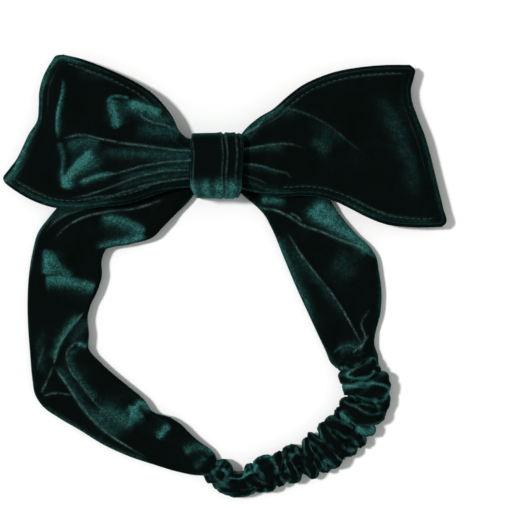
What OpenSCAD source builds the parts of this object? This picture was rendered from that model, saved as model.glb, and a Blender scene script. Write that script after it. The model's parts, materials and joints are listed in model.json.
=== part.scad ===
// A velvet bow headband. A padded bow is gathered inside a knot wrap, which also holds a flat tube
// band. The band's ends are joined by a gathered casing that stretches on the elastic inside it.
// It lies on its back: +Z points up from the table, X runs along the bow, the loop reaches to -Y,
// and the origin is on the table under the knot's centre.

/* [Bow] */
// Reach of the left wing from the knot's centre
left_reach = 110.5; // [88:0.5:135]
// Reach of the right wing from the knot's centre
right_reach = 118; // [95:0.5:145]
// Height of the right wing's outer edge, which sets the height of both wings
wing_height = 82; // [65:1:100]
// How far the front of a wing stands out from its seam
wing_puff = 7; // [4:0.5:9]
// How far the back of a wing stands out from its seam
wing_back_puff = 2; // [1:0.5:3]
// Thickness of the pleated centre of the bow
pleat_t = 14.5; // [11:0.5:18]

/* [Knot] */
// Width of the knot wrap, along the bow
knot_w = 26; // [21:0.5:32]
// Height of the knot wrap, across the bow
knot_h = 31; // [25:0.5:38]
// Thickness of the folded knot wrap
knot_wall = 2; // [1.5:0.1:2.6]
// Thickness of the thread that gathers the bow
thread_t = 0.8; // [0.5:0.1:1]

/* [Band] */
// Width of the loop over the band's outer edges
loop_w = 184; // [155:1:225]
// Depth of the loop from the knot's centre to the casing's outer edge
loop_d = 172; // [145:1:210]
// Width of the band at its widest
band_w = 44; // [36:0.5:50]
// Thickness of the band
band_t = 8; // [6.5:0.5:10]
// Thickness of one layer of velvet
velvet_t = 1.2; // [0.9:0.1:1.5]

/* [Elastic casing] */
// Number of gathers in the casing
gathers = 12; // [12:1:12]
// Width of the gathered casing
casing_w = 24; // [20:0.5:28]
// Height of the gathered casing
casing_h = 14; // [11:0.5:17]
// Width of the elastic
elastic_w = 11; // [8:0.5:13]
// Thickness of the elastic
elastic_t = 1.2; // [0.9:0.1:1.8]
// Clearance between pieces that move apart
fit = 0.3; // [0.2:0.05:0.4]

/* [Hidden] */

// The sizes that the outlines and routes below are drawn at.
DRAWN_LEFT_REACH = 110.5;
DRAWN_RIGHT_REACH = 118;
DRAWN_WING_HEIGHT = 82;
DRAWN_LOOP_W = 184;
DRAWN_LOOP_D = 172;
DRAWN_KNOT_W = 26;
DRAWN_KNOT_H = 31;
// How far from the pivot the band starts on that knot.
DRAWN_START_R = norm([DRAWN_KNOT_W, DRAWN_KNOT_H]) / 2 - 3.4;
DRAWN_NECK = 17.6;

// A wing's lower and upper edges from the neck outwards, for a wing that points to +X.
LEFT_LOWER = [[30, -14.5], [45, -17.5], [60, -21], [74, -23.5], [88, -22], [100, -16.5], [110.5, -9]];
LEFT_UPPER = [[23, 23.5], [31, 34], [43, 43], [57, 49.5], [70, 54.5], [78, 56.5], [83.5, 57]];
RIGHT_LOWER = [[28, -16.5], [40, -17], [52, -17.2], [66, -21], [82, -29], [99, -32], [118, -31]];
RIGHT_UPPER = [[24, 26], [34, 33], [47, 42], [62, 48], [77, 50.6], [90, 51.4], [102, 51]];
// How full a wing is at each point of its edges, the neck first.
WING_FULLNESS = [0, 0.6, 0.85, 1, 1, 0.85, 0.5, 0];

// The middle line of each half of the band, from the knot to the join with the casing.
LEFT_ROUTE = [[-27, -12], [-41, -20.5], [-57, -29], [-70, -37.5], [-77, -48.5], [-81, -62],
    [-82.7, -75], [-82, -88], [-81, -101], [-76, -112.5], [-67, -121], [-57, -128.5], [-45, -136.5],
    [-33, -143], [-21.5, -148.5], [-12.5, -152.2], [-4.5, -156.2]];
RIGHT_ROUTE = [[25, -10], [34.5, -16.5], [42.5, -24.5], [49.5, -33.5], [55.5, -42.5], [61, -53],
    [64.3, -64.5], [66.8, -75.5], [68, -86], [69.8, -95]];
// Width of each half at those points, as a share of the band's widest.
LEFT_WIDTHS = [0.76, 0.93, 0.97, 0.88, 0.85, 0.81, 0.74, 0.71, 0.73, 0.9, 1, 0.96, 0.82, 0.72,
    0.55, 0.43, 0.36];
RIGHT_WIDTHS = [0.6, 0.72, 0.84, 0.93, 1, 1, 0.97, 0.86, 0.7, 0.56];
// The middle line of the casing, from the left join to the right one. Its first and last stretches
// carry straight on from the band's.
CASING_ROUTE = [[-4.5, -156.2], [3.1, -160], [13, -163.5], [26, -162], [38, -158], [50, -153],
    [61, -147], [70.5, -138], [75.5, -128], [75.5, -117], [72, -106], [69.8, -95]];

// Half of a flat tube's section: a domed top over a flat base, as shares of its half width and
// of its height above and below its side seam.
SECTION = concat(
    [for (a = [0:20:180]) [cos(a), pow(sin(a), 0.8)]],
    [[-0.85, -1], [-0.3, -1], [0.3, -1], [0.85, -1]]
);
BOX_SECTION = [[1, 1], [-1, 1], [-1, -1], [1, -1]];

velvet = "#0c4a47";
velvet_shade = "#083432";
lining_colour = "#2b3f40";
elastic_colour = "#16201f";
thread_colour = "#2f6f6b";

// Heights, from the table up.
seam_z = band_t + 2 * fit + velvet_t + wing_back_puff + 1.2;
pleat_z = band_t;
knot_top = pleat_z + pleat_t + knot_wall;
band_seam_z = 0.5 * band_t;
casing_seam_z = 0.45 * casing_h;
elastic_z = band_seam_z;

// Places along the bow.
knuckle_r = velvet_t + 0.1;
hinge_x = knot_w / 2 + 3;
neck_x = hinge_x + knuckle_r + fit;
pleat_half_h = knot_h / 2 - knot_wall - fit;
neck_half_h = pleat_half_h - 0.5;

// Places around the band's pivot, which is the origin.
band_start_angle = 15;
// Its first ring's lower corner stays the same way clear of the knot's side and grows with the knot.
band_start_r = DRAWN_START_R + ((knot_w - DRAWN_KNOT_W) / 2
    + (knot_h - DRAWN_KNOT_H) / 2 * sin(band_start_angle)) / cos(band_start_angle);
// The flat margins round a wing, as shares of its height and of its length.
seam_margin = 0.05;
end_margin = 0.045;
// How much of the last stretch of the band's route the elastic is sewn into.
join_overlap = 0.9;
// Room beside the elastic in its casing.
elastic_room = 1;

function catmull(p, t) =
    let (i = min(floor(t), len(p) - 2))
    let (f = t - i)
    let (a = p[max(i - 1, 0)], b = p[i], c = p[i + 1], d = p[min(i + 2, len(p) - 1)])
    0.5 * (2 * b + (c - a) * f + (2 * a - 5 * b + 4 * c - d) * f * f + (3 * b - a - 3 * c + d) * f * f * f);
function heading(p, t) =
    let (step = 0.02)
    let (d = catmull(p, min(t + step, len(p) - 1)) - catmull(p, max(t - step, 0)))
    d / norm(d);
function across(p, t) = let (h = heading(p, t)) [-h[1], h[0]];
// How far one step of t goes.
function pace(p, t) =
    let (step = 0.02)
    let (a = max(t - step, 0), b = min(t + step, len(p) - 1))
    norm(catmull(p, b) - catmull(p, a)) / (b - a);
function middle(points) = [for (p = points) 1] * points / len(points);
function clamp01(x) = max(0, min(1, x));

// One closed ring across a route: low, seam and high are heights above the table.
function ring(section, centre, side, half_w, low, seam, high) = [
    for (q = section)
        let (p = centre + side * q[0] * half_w)
        [p[0], p[1], seam + q[1] * (q[1] > 0 ? high - seam : seam - low)]
];

function side_faces(m, n, start, inward) = [
    for (i = [0:m - 2], j = [0:n - 1], half = [0, 1])
        let (k = (j + 1) % n)
        let (a = start + i * n + j, b = start + i * n + k)
        let (c = a + n, d = b + n)
        let (f = half == 0 ? [a, c, d] : [a, d, b])
        inward ? [f[2], f[1], f[0]] : f
];

// A solid through a list of rings, closed at both ends.
module loft(rings) {
    m = len(rings);
    n = len(rings[0]);
    ends = [middle(rings[0]), middle(rings[m - 1])];
    last = (m - 1) * n;
    polyhedron(
        concat([for (r = rings) each r], ends),
        concat(
            side_faces(m, n, 0, false),
            [for (j = [0:n - 1]) [m * n, j, (j + 1) % n]],
            [for (j = [0:n - 1]) [m * n + 1, last + (j + 1) % n, last + j]]
        ),
        convexity = 6
    );
}

// A tube: the same number of outer and inner rings, open along its length.
module tube(outer, inner) {
    m = len(outer);
    n = len(outer[0]);
    far = (m - 1) * n;
    start = m * n;
    polyhedron(
        concat([for (r = outer) each r], [for (r = inner) each r]),
        concat(
            side_faces(m, n, 0, false),
            side_faces(m, n, start, true),
            [for (j = [0:n - 1]) each [
                [j, (j + 1) % n, start + (j + 1) % n],
                [j, start + (j + 1) % n, start + j]
            ]],
            [for (j = [0:n - 1]) each [
                [far + (j + 1) % n, far + j, start + far + j],
                [far + (j + 1) % n, start + far + j, start + far + (j + 1) % n]
            ]]
        ),
        convexity = 8
    );
}

// ---- The bow's wings -------------------------------------------------------------------------

function wing_edge(edge, sign, reach, drawn_reach) = concat(
    [[neck_x, sign * neck_half_h]],
    [for (p = edge) [
        neck_x + (p[0] - DRAWN_NECK) * (reach - neck_x) / (drawn_reach - DRAWN_NECK),
        p[1] * wing_height / DRAWN_WING_HEIGHT
    ]]
);
LEFT_WING = [wing_edge(LEFT_LOWER, -1, left_reach, DRAWN_LEFT_REACH),
    wing_edge(LEFT_UPPER, 1, left_reach, DRAWN_LEFT_REACH)];
RIGHT_WING = [wing_edge(RIGHT_LOWER, -1, right_reach, DRAWN_RIGHT_REACH),
    wing_edge(RIGHT_UPPER, 1, right_reach, DRAWN_RIGHT_REACH)];

// How far the panels stand apart at u along a wing and v across it, as a share of the full puff.
function loft_share(u, v) =
    let (along = WING_LAST * clamp01(u / WING_LAST / (1 - end_margin)))
    let (over = clamp01((v - seam_margin) / (1 - 2 * seam_margin)))
    max(0, catmull(WING_FULLNESS, along)) * pow(sin(180 * over), 0.6);
function wing_point(wing, u, v) = (1 - v) * catmull(wing[0], u) + v * catmull(wing[1], u);
function raised(p, z) = [p[0], p[1], z];

// Where the panels' rings lie along a wing and across it: one ring on each margin's inner edge.
WING_LAST = len(WING_FULLNESS) - 1;
WING_US = concat([for (k = [0:13]) WING_LAST * (1 - end_margin) * k / 13], [WING_LAST]);
WING_VS = concat([0], [for (a = [0:20:180]) seam_margin + (1 - 2 * seam_margin) * (1 - cos(a)) / 2], [1]);
LINING_US = [for (k = [1:12]) WING_US[k]];
LINING_VS = [for (k = [2:9]) WING_VS[k]];

// A slab across a wing between two heights, each given as [height at the seam, rise at full puff].
function slab_ring(wing, u, vs, high, low) = concat(
    [for (k = [len(vs) - 1:-1:0])
        raised(wing_point(wing, u, vs[k]), high[0] + high[1] * loft_share(u, vs[k]))],
    [for (v = vs) raised(wing_point(wing, u, v), low[0] + low[1] * loft_share(u, v))]
);
module slab(wing, us, vs, high, low) {
    loft([for (u = us) slab_ring(wing, u, vs, high, low)]);
}
module bow_front(wing) {
    slab(wing, WING_US, WING_VS, [seam_z + velvet_t, wing_puff], [seam_z, wing_puff]);
}
module bow_back(wing) {
    slab(wing, WING_US, WING_VS, [seam_z, -wing_back_puff], [seam_z - velvet_t, -wing_back_puff]);
}
module bow_interlining(wing) {
    slab(wing, LINING_US, LINING_VS, [seam_z - fit, wing_puff], [seam_z + fit, -wing_back_puff]);
}

// Stitches that run round a wing's edge, on the flat margin where the two panels meet.
module stitch_row(a, b, z, length = 4, pitch = 5.5) {
    run = norm(b - a);
    count = floor(run / pitch);
    for (k = [0:max(count - 1, 0)]) {
        p = a + (b - a) * (k + 0.5) / max(count, 1);
        translate([p[0], p[1], z])
            rotate([0, 0, atan2(b[1] - a[1], b[0] - a[0])])
            translate([-length / 2, -0.25, 0])
            cube([length, 0.5, 0.4]);
    }
}
module bow_stitching(wing) {
    inset = 0.5 * seam_margin;
    top = seam_z + velvet_t;
    for (u = [1:WING_LAST - 2], v = [inset, 1 - inset]) {
        stitch_row(wing_point(wing, u, v), wing_point(wing, u + 1, v), top);
    }
    end_u = WING_LAST * (1 - 0.5 * end_margin);
    stitch_row(wing_point(wing, end_u, seam_margin), wing_point(wing, end_u, 1 - seam_margin), top);
}

// ---- The knot --------------------------------------------------------------------------------

function corner(x, y, r, from) = [for (a = [from:15:from + 90]) [x + r * cos(a), y + r * sin(a)]];
function rounded(half_w, low, high, r_low, r_high) = concat(
    corner(half_w - r_low, low + r_low, r_low, -90),
    corner(half_w - r_high, high - r_high, r_high, 0),
    corner(-half_w + r_high, high - r_high, r_high, 90),
    corner(-half_w + r_low, low + r_low, r_low, 180)
);
module along_bow(length) {
    rotate([90, 0, 90]) linear_extrude(length, center = true) children();
}
closing_y = knot_h / 4;
closing_w = 3;
closing_depth = 0.8;
module knot_wrap() {
    color(velvet) difference() {
        along_bow(knot_w) difference() {
            polygon(rounded(knot_h / 2, 0, knot_top, 2.5, 7));
            polygon(rounded(knot_h / 2 - knot_wall, knot_wall, knot_top - knot_wall, 0.5, 5));
        }
        translate([-knot_w, closing_y - closing_w / 2, -1])
            cube([2 * knot_w, closing_w, 1 + closing_depth]);
    }
}
module knot_closing_stitches() {
    pitch = 3;
    count = floor(knot_w / pitch);
    color(thread_colour) for (k = [0:count - 1]) {
        translate([(k - (count - 1) / 2) * pitch - 0.25, closing_y - closing_w / 2, closing_depth - 0.5])
            cube([0.5, closing_w, 0.5]);
    }
}

// The pleated centre: two blocks with a waist between them for the gathering thread, and on each
// side a tongue that ends in the round edge which the wing turns about.
waist_w = 6;
pleat_top = pleat_z + pleat_t - fit;
function pleat_section(inset) =
    rounded(pleat_half_h - inset, pleat_z + inset, pleat_top - inset, 0.9, 5 - fit - inset);
module bow_pleats() {
    block_x = knot_w / 2 - 0.5;
    knuckle = 0.8 * knuckle_r;
    profile = [[waist_w / 2, pleat_z], [block_x, pleat_z], [hinge_x, seam_z - knuckle],
        [hinge_x, seam_z + knuckle], [block_x, pleat_top - 4], [block_x - 3, pleat_top],
        [waist_w / 2, pleat_top]];
    color(velvet_shade) {
        for (side = [0, 1]) mirror([side, 0, 0]) {
            intersection() {
                along_bow(2 * hinge_x) polygon(pleat_section(0));
                translate([0, pleat_half_h, 0]) rotate([90, 0, 0])
                    linear_extrude(2 * pleat_half_h) polygon(profile);
            }
            translate([hinge_x, 0, seam_z]) rotate([90, 0, 0])
                cylinder(h = 2 * neck_half_h, r = knuckle_r, center = true, $fn = 32);
        }
        along_bow(waist_w + 1) polygon(pleat_section(thread_t));
    }
}
module gathering_thread() {
    pitch = thread_t + 0.15;
    turns = floor(waist_w / pitch);
    color(thread_colour) for (k = [0:turns - 1]) {
        translate([(k - (turns - 1) / 2) * pitch, 0, 0]) along_bow(thread_t) difference() {
            polygon(pleat_section(0));
            polygon(pleat_section(thread_t));
        }
    }
}

// ---- The band --------------------------------------------------------------------------------

// Beside the knot the band keeps to the knot's own size, and it follows the loop's size from there on.
function beside_knot(p) = max(0, min(1, 2 - norm(p) / (2 * DRAWN_START_R)));
function looped(p) =
    let (held = beside_knot(p), grown = held * (band_start_r - DRAWN_START_R) / norm(p))
    [p[0] * (held + (1 - held) * loop_w / DRAWN_LOOP_W + grown),
        p[1] * (held + (1 - held) * loop_d / DRAWN_LOOP_D + grown)];
function band_route(route, side) = concat(
    [band_start_r * [side * cos(band_start_angle), -sin(band_start_angle)]],
    [for (p = route) looped(p)]
);
LEFT_BAND = band_route(LEFT_ROUTE, -1);
RIGHT_BAND = band_route(RIGHT_ROUTE, 1);
start_share = 2 * (pleat_half_h - 2.6) / band_w;
LEFT_SPAN = concat([start_share], LEFT_WIDTHS);
RIGHT_SPAN = concat([start_share], RIGHT_WIDTHS);
LEFT_END = len(LEFT_BAND) - 1;
RIGHT_END = len(RIGHT_BAND) - 1;

// The first ring stands square to the radius from the pivot, so that the band can turn there.
function band_across(route, t) = t == 0 ? let (r = route[0] / norm(route[0])) [-r[1], r[0]] : across(route, t);
// A ring of the band, inset all round, whose section is the tube's own.
function band_ring(route, span, t, inset) =
    ring(SECTION, catmull(route, t), band_across(route, t), catmull(span, t) * band_w / 2 - inset,
        inset, band_seam_z, band_t - inset);
// Where the band's rings lie on its route, which stops short of the join by half a clearance.
function band_ts(route, end) =
    let (steps = 2 * end, stop = end - fit / 2 / pace(route, end))
    [for (k = [0:steps]) stop * k / steps];
module band_tube(route, span, end) {
    ts = band_ts(route, end);
    tube(
        [for (t = ts) band_ring(route, span, t, 0)],
        [for (t = ts) band_ring(route, span, t, velvet_t)]
    );
}
// It stops where the elastic's end is sewn in.
module band_interlining(route, span, end) {
    ts = band_ts(route, end);
    loft([for (k = [1:len(ts) - 3]) band_ring(route, span, ts[k], velvet_t + fit)]);
}
module elastic_strip(route, from, to, steps) {
    color(elastic_colour) loft([for (k = [0:steps])
        let (t = from + (to - from) * k / steps)
        ring(BOX_SECTION, catmull(route, t), across(route, t), elastic_w / 2,
            elastic_z - elastic_t / 2, elastic_z, elastic_z + elastic_t / 2)]);
}
module elastic_tail(route, end) {
    elastic_strip(route, end - join_overlap, end - fit / 2 / pace(route, end), 3);
}
module join_stitches(route, end) {
    color(thread_colour) for (k = [-2:2]) {
        t = end - join_overlap / 2;
        p = catmull(route, t) + across(route, t) * k * elastic_w / 5.5;
        h = heading(route, t);
        translate([p[0], p[1], elastic_z + elastic_t / 2])
            rotate([0, 0, atan2(h[1], h[0])])
            translate([-1.5, -0.3, 0])
            cube([3, 0.6, 0.4]);
    }
}
// The part of the band that the knot holds, with round ends about the pivot.
module band_centre() {
    half_h = pleat_half_h - 2;
    color(velvet) intersection() {
        translate([0, 0, knot_wall]) cylinder(h = band_t - knot_wall, r = band_start_r - fit, $fn = 96);
        translate([-knot_w, -half_h, 0]) cube([2 * knot_w, 2 * half_h, band_t]);
    }
}

// ---- The elastic casing ----------------------------------------------------------------------

CASING = [for (p = CASING_ROUTE) looped(p)];
CASING_END = len(CASING) - 1;
// Where the share q of gather i lies on the casing's route, clear of its neighbours.
function gather_t(i, q) =
    let (from = CASING_END * (i - 1) / gathers, to = CASING_END * i / gathers)
    let (first = from + fit / 2 / pace(CASING, from), last = to - fit / 2 / pace(CASING, to))
    first + (last - first) * q;
function bulge(q) = 0.74 + 0.26 * pow(sin(180 * q), 0.7);
module casing_gather(i) {
    qs = [0, 0.15, 0.35, 0.65, 0.85, 1];
    color(i % 2 == 0 ? velvet : velvet_shade) tube(
        [for (q = qs)
            let (t = gather_t(i, q))
            ring(SECTION, catmull(CASING, t), across(CASING, t), casing_w / 2 * bulge(q),
                0, casing_seam_z, casing_h * bulge(q))],
        [for (q = qs)
            let (t = gather_t(i, q))
            ring(SECTION, catmull(CASING, t), across(CASING, t), elastic_w / 2 + elastic_room,
                elastic_z - elastic_t / 2 - fit, elastic_z, elastic_z + elastic_t / 2 + 3 * fit)]
    );
}
module elastic_length(i) {
    elastic_strip(CASING, gather_t(i, 0), gather_t(i, 1), 2);
}

// ---- What each node draws --------------------------------------------------------------------

module left() {
    mirror([1, 0, 0]) children();
}
knot_wrap();
knot_closing_stitches();
bow_pleats();
gathering_thread();
band_centre();
color(velvet) left() bow_front(LEFT_WING);  // left_bow_front
color(velvet) left() bow_back(LEFT_WING);  // left_bow_back
color(lining_colour) left() bow_interlining(LEFT_WING);  // left_bow_interlining
color(thread_colour) left() bow_stitching(LEFT_WING);  // left_bow_stitching
color(velvet) bow_front(RIGHT_WING);  // right_bow_front
color(velvet) bow_back(RIGHT_WING);  // right_bow_back
color(lining_colour) bow_interlining(RIGHT_WING);  // right_bow_interlining
color(thread_colour) bow_stitching(RIGHT_WING);  // right_bow_stitching
color(velvet) band_tube(LEFT_BAND, LEFT_SPAN, LEFT_END);  // left_band_tube
color(lining_colour) band_interlining(LEFT_BAND, LEFT_SPAN, LEFT_END);  // left_band_interlining
elastic_tail(LEFT_BAND, LEFT_END);  // left_elastic_tail
join_stitches(LEFT_BAND, LEFT_END);  // left_join_stitches
color(velvet) band_tube(RIGHT_BAND, RIGHT_SPAN, RIGHT_END);  // right_band_tube
color(lining_colour) band_interlining(RIGHT_BAND, RIGHT_SPAN, RIGHT_END);  // right_band_interlining
elastic_tail(RIGHT_BAND, RIGHT_END);  // right_elastic_tail
join_stitches(RIGHT_BAND, RIGHT_END);  // right_join_stitches
for (i = [1:gathers]) {
    casing_gather(i);
    elastic_length(i);
}
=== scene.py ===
"""A velvet bow headband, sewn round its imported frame.

Lengths in the shape functions are millimetres in the frame's own axes: X runs along the bow, the loop
reaches to -Y, Z points up from the table. A mesh is turned into metres when it is made.
"""
import json
import math
import types

import bpy
import numpy as np
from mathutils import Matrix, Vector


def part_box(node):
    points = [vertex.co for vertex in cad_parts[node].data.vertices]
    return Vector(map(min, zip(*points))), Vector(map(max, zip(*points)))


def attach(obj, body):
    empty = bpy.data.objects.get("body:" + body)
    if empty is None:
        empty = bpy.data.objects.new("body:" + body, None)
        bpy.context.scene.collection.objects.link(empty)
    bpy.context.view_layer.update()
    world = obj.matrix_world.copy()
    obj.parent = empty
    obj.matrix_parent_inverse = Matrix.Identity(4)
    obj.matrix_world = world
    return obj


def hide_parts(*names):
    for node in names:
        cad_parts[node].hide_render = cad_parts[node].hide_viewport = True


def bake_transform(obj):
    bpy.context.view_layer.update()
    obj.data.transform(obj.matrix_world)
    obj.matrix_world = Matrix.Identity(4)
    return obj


bl_info = {
    "name": "Velvet Bow Headband",
    "version": (1, 0, 0),
    "blender": (4, 5, 0),
    "location": "3D View > Sidebar > Headband",
    "description": "Sews a velvet bow headband round its packed frame",
    "category": "Add Mesh",
}

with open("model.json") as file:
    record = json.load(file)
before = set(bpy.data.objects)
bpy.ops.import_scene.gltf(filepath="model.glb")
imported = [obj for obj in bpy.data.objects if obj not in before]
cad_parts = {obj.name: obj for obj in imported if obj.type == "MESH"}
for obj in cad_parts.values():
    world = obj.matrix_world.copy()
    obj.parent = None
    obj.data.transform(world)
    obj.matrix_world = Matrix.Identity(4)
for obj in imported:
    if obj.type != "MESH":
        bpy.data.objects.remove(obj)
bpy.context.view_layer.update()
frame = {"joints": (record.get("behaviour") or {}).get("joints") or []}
MM = 0.001


def node_box(name):
    """Lowest and highest corner of a node of the frame, in millimetres."""
    low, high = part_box(name)
    return np.array(low) / MM, np.array(high) / MM


WRAP_LOW, WRAP_HIGH = node_box("knot_wrap")
FRONT_LOW, FRONT_HIGH = node_box("left_bow_front")
BAND_LOW, BAND_HIGH = node_box("left_band_tube")
GATHER_LOW, GATHER_HIGH = node_box("casing_gather_6")
SEAM_Z = float(FRONT_LOW[2])
JOINTS = {joint["name"]: joint for joint in frame["joints"]}
HINGE_X = abs(JOINTS["right_wing_lift"]["pos_m"][0]) / MM
# Where the wings' drawn edges start, inside the knot, and the lowest that anything lies over the table.
BUNDLE_X = 11
TABLE_GAP = 0.02


# ---- Sizes and colours that a user may change ---------------------------------------------------


def length(name, description, default, low, high):
    """A length of the headband that a user may change; the numbers here are millimetres."""
    return bpy.props.FloatProperty(name=name, description=description, default=default * MM, min=low * MM,
                                   max=high * MM, subtype="DISTANCE", unit="LENGTH", precision=4)


class BowSizes(bpy.types.PropertyGroup):
    puff: length("Puff", "How far the front of a wing swells",
                 float(FRONT_HIGH[2] - FRONT_LOW[2]) - 1.2, 3, 10)
    back_puff: length("Back puff", "How far the back of a wing swells", 2.2, 0.5, 3)
    droop: length("Droop", "How far a wing's outer edge hangs down", 4.0, 0, 5)
    allowance: length("Seam allowance", "Width of the turned seam round a wing", 4.6, 3, 7)
    spacing: length("Spacing", "Distance between the mesh lines of the cloth", 0.6, 0.5, 3)


class BandSizes(bpy.types.PropertyGroup):
    thickness: length("Thickness", "Thickness of the flat tube band",
                      float(BAND_HIGH[2] - BAND_LOW[2]), 5, 11)
    edge_roll: length("Edge roll", "How far in from its edge the band reaches its full thickness",
                      7, 4, 16)


class CasingSizes(bpy.types.PropertyGroup):
    width: length("Width", "Width of the gathered casing over its folds", 23.5, 18, 28)
    height: length("Height", "Height of the gathered casing over its folds",
                   float(GATHER_HIGH[2] - GATHER_LOW[2]), 10, 17)
    fold_depth: length("Fold depth", "Depth of the valleys between the folds", 2.9, 1, 4)


class VelvetLook(bpy.types.PropertyGroup):
    shade: bpy.props.FloatVectorProperty(
        name="Shade", description="Colour of the pile seen end on", subtype="COLOR",
        default=(0.0022, 0.0038, 0.0034), min=0, max=1)
    # Painted sheen: the colour of the painted highlights on the pile.
    painted_sheen: bpy.props.FloatVectorProperty(
        name="Brushed", description="Colour of the pile where it lies over", subtype="COLOR",
        default=(0.036, 0.174, 0.162), min=0, max=1)
    # The colour of the crease lines: partly worn backing, partly painted highlight.
    worn_and_lit: bpy.props.FloatVectorProperty(
        name="Worn", description="Colour of the backing along a sharp crease", subtype="COLOR",
        default=(0.140, 0.300, 0.280), min=0, max=1)
    sheen: bpy.props.FloatVectorProperty(
        name="Sheen", description="Colour of the pile's sheen", subtype="COLOR",
        default=(0.10, 0.62, 0.58), min=0, max=1)


def settings(name):
    """A group of the scene's settings."""
    return getattr(bpy.context.scene, "headband_" + name)


def setting_names(group):
    """The names of a group's own settings."""
    return [key for key in group.bl_rna.properties.keys() if key not in ("rna_type", "name")]


def sizes(name):
    """A group of lengths, in millimetres."""
    group = settings(name)
    return types.SimpleNamespace(**{key: getattr(group, key) / MM for key in setting_names(group)})


# ---- Curves and fields, as whole arrays ---------------------------------------------------------


def smooth(x):
    """A soft step: 3x^2 - 2x^3, with x held between 0 and 1."""
    x = np.clip(x, 0, 1)
    return x * x * (3 - 2 * x)


def along(points, share):
    """A cubic Hermite curve through the points, with share from 0 to 1 by chord length."""
    points = np.asarray(points, float)
    share = np.asarray(share, float)
    knots = np.concatenate([[0], np.cumsum(np.linalg.norm(np.diff(points, axis=0), axis=1))])
    knots /= knots[-1]
    slopes = np.gradient(points, knots, axis=0)
    i = np.clip(np.searchsorted(knots, share, side="right") - 1, 0, len(points) - 2)
    width = (knots[i + 1] - knots[i])[..., None]
    f = (share - knots[i])[..., None] / width
    return (
        (2 * f**3 - 3 * f**2 + 1) * points[i]
        + (f**3 - 2 * f**2 + f) * width * slopes[i]
        + (3 * f**2 - 2 * f**3) * points[i + 1]
        + (f**3 - f**2) * width * slopes[i + 1]
    )


def even(points, count):
    """The same curve as count points at equal distances."""
    fine = along(points, np.linspace(0, 1, 40 * len(points)))
    far = np.concatenate([[0], np.cumsum(np.linalg.norm(np.diff(fine, axis=0), axis=1))])
    at = np.linspace(0, far[-1], count)
    return np.stack([np.interp(at, far, fine[:, k]) for k in range(fine.shape[1])], axis=1)


def length_of(points):
    """The length of the curve through the points."""
    fine = along(points, np.linspace(0, 1, 40 * len(points)))
    return float(np.linalg.norm(np.diff(fine, axis=0), axis=1).sum())


def distance(xy, line):
    """Distance of each point to a polyline, its side (left positive), and how far along it is, 0 to 1."""
    flat = xy.reshape(-1, 2)
    start, step = line[:-1], np.diff(line, axis=0)
    reach = np.maximum((step**2).sum(axis=1), 1e-12)
    best = np.full(len(flat), 1e9)
    side, share = np.zeros(len(flat)), np.zeros(len(flat))
    for k in range(len(step)):
        off = flat - start[k]
        f = np.clip(off @ step[k] / reach[k], 0, 1)
        gap = off - f[:, None] * step[k]
        d = np.hypot(gap[:, 0], gap[:, 1])
        nearer = d < best
        best = np.where(nearer, d, best)
        side = np.where(nearer, step[k, 0] * off[:, 1] - step[k, 1] * off[:, 0], side)
        share = np.where(nearer, (k + f) / len(step), share)
    shape = xy.shape[:-1]
    return best.reshape(shape), np.sign(side).reshape(shape), share.reshape(shape)


def faded(share, first, last):
    """1 along a line, falling to 0 over its first and its last share."""
    rise = smooth(share / first) if first > 0 else 1.0
    fall = smooth((1 - share) / last) if last > 0 else 1.0
    return rise * fall


def ripple(xy, length, seed, terms=7):
    """A gentle uneven surface from -1 to 1: a mean of sines of about that length, each in its own
    direction."""
    rng = np.random.default_rng(seed)
    total = np.zeros(xy.shape[:-1])
    for _ in range(terms):
        angle, phase = rng.uniform(0, 2 * math.pi, 2)
        wave = 2 * math.pi / (length * rng.uniform(0.7, 1.5))
        total += np.sin(wave * (xy[..., 0] * math.cos(angle) + xy[..., 1] * math.sin(angle)) + phase)
    return total / terms * 1.8


def creased(xy, creases):
    """Height, and pale line (partly wear, partly painted highlight), of a set of creases at each point:
    each crease's height falls off as exp(-(d / w)^p) with the distance d from its line, where w is its
    width on that side and p is 1.2 on a sharp crease and 2 on a soft one."""
    height, wear_and_highlight = np.zeros(xy.shape[:-1]), np.zeros(xy.shape[:-1])
    for line, rise, left, right, mark, first, last in creases:
        path = even(line, max(8, int(length_of(line) / 1.2)))
        d, side, share = distance(xy, path)
        fade = faded(share, first, last)
        width = np.where(side > 0, left, right)
        power = 1.25 if mark > 0 else 2.0
        height += rise * fade * np.exp(-((d / width) ** power))
        # The pale line along the crease: partly wear, partly painted highlight.
        wear_and_highlight += mark * fade * np.exp(-((d / 0.42) ** 2))
    return height, wear_and_highlight


def painted_sheen(xy, patches):
    """Painted sheen at each point: a sum of soft painted highlight patches, painted shade where a strength
    is negative, each 0.85 exp(-(d / w)^2) from its own line and a wide faint 0.17 exp(-(d / 2.5 w)^2),
    where w is one width or a width on the left and one on the right."""
    total = np.zeros(xy.shape[:-1])
    for line, strength, width, first, last in patches:
        left, right = width if isinstance(width, tuple) else (width, width)
        path = even(line, max(6, int(length_of(line) / 2)))
        d, side, share = distance(xy, path)
        off = d / np.where(side > 0, left, right)
        soft = 0.85 * np.exp(-(off**2)) + 0.17 * np.exp(-((off / 2.5) ** 2))
        total += strength * faded(share, first, last) * soft
    return total


# ---- Meshes -------------------------------------------------------------------------------------


def grid_faces(rows, columns, first=0):
    """Quads of a grid of rows by columns whose points are numbered row by row from first."""
    i, j = np.meshgrid(np.arange(rows - 1), np.arange(columns - 1), indexing="ij")
    a = (first + i * columns + j).ravel()
    return np.stack([a, a + columns, a + columns + 1, a + 1], axis=1)


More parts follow.
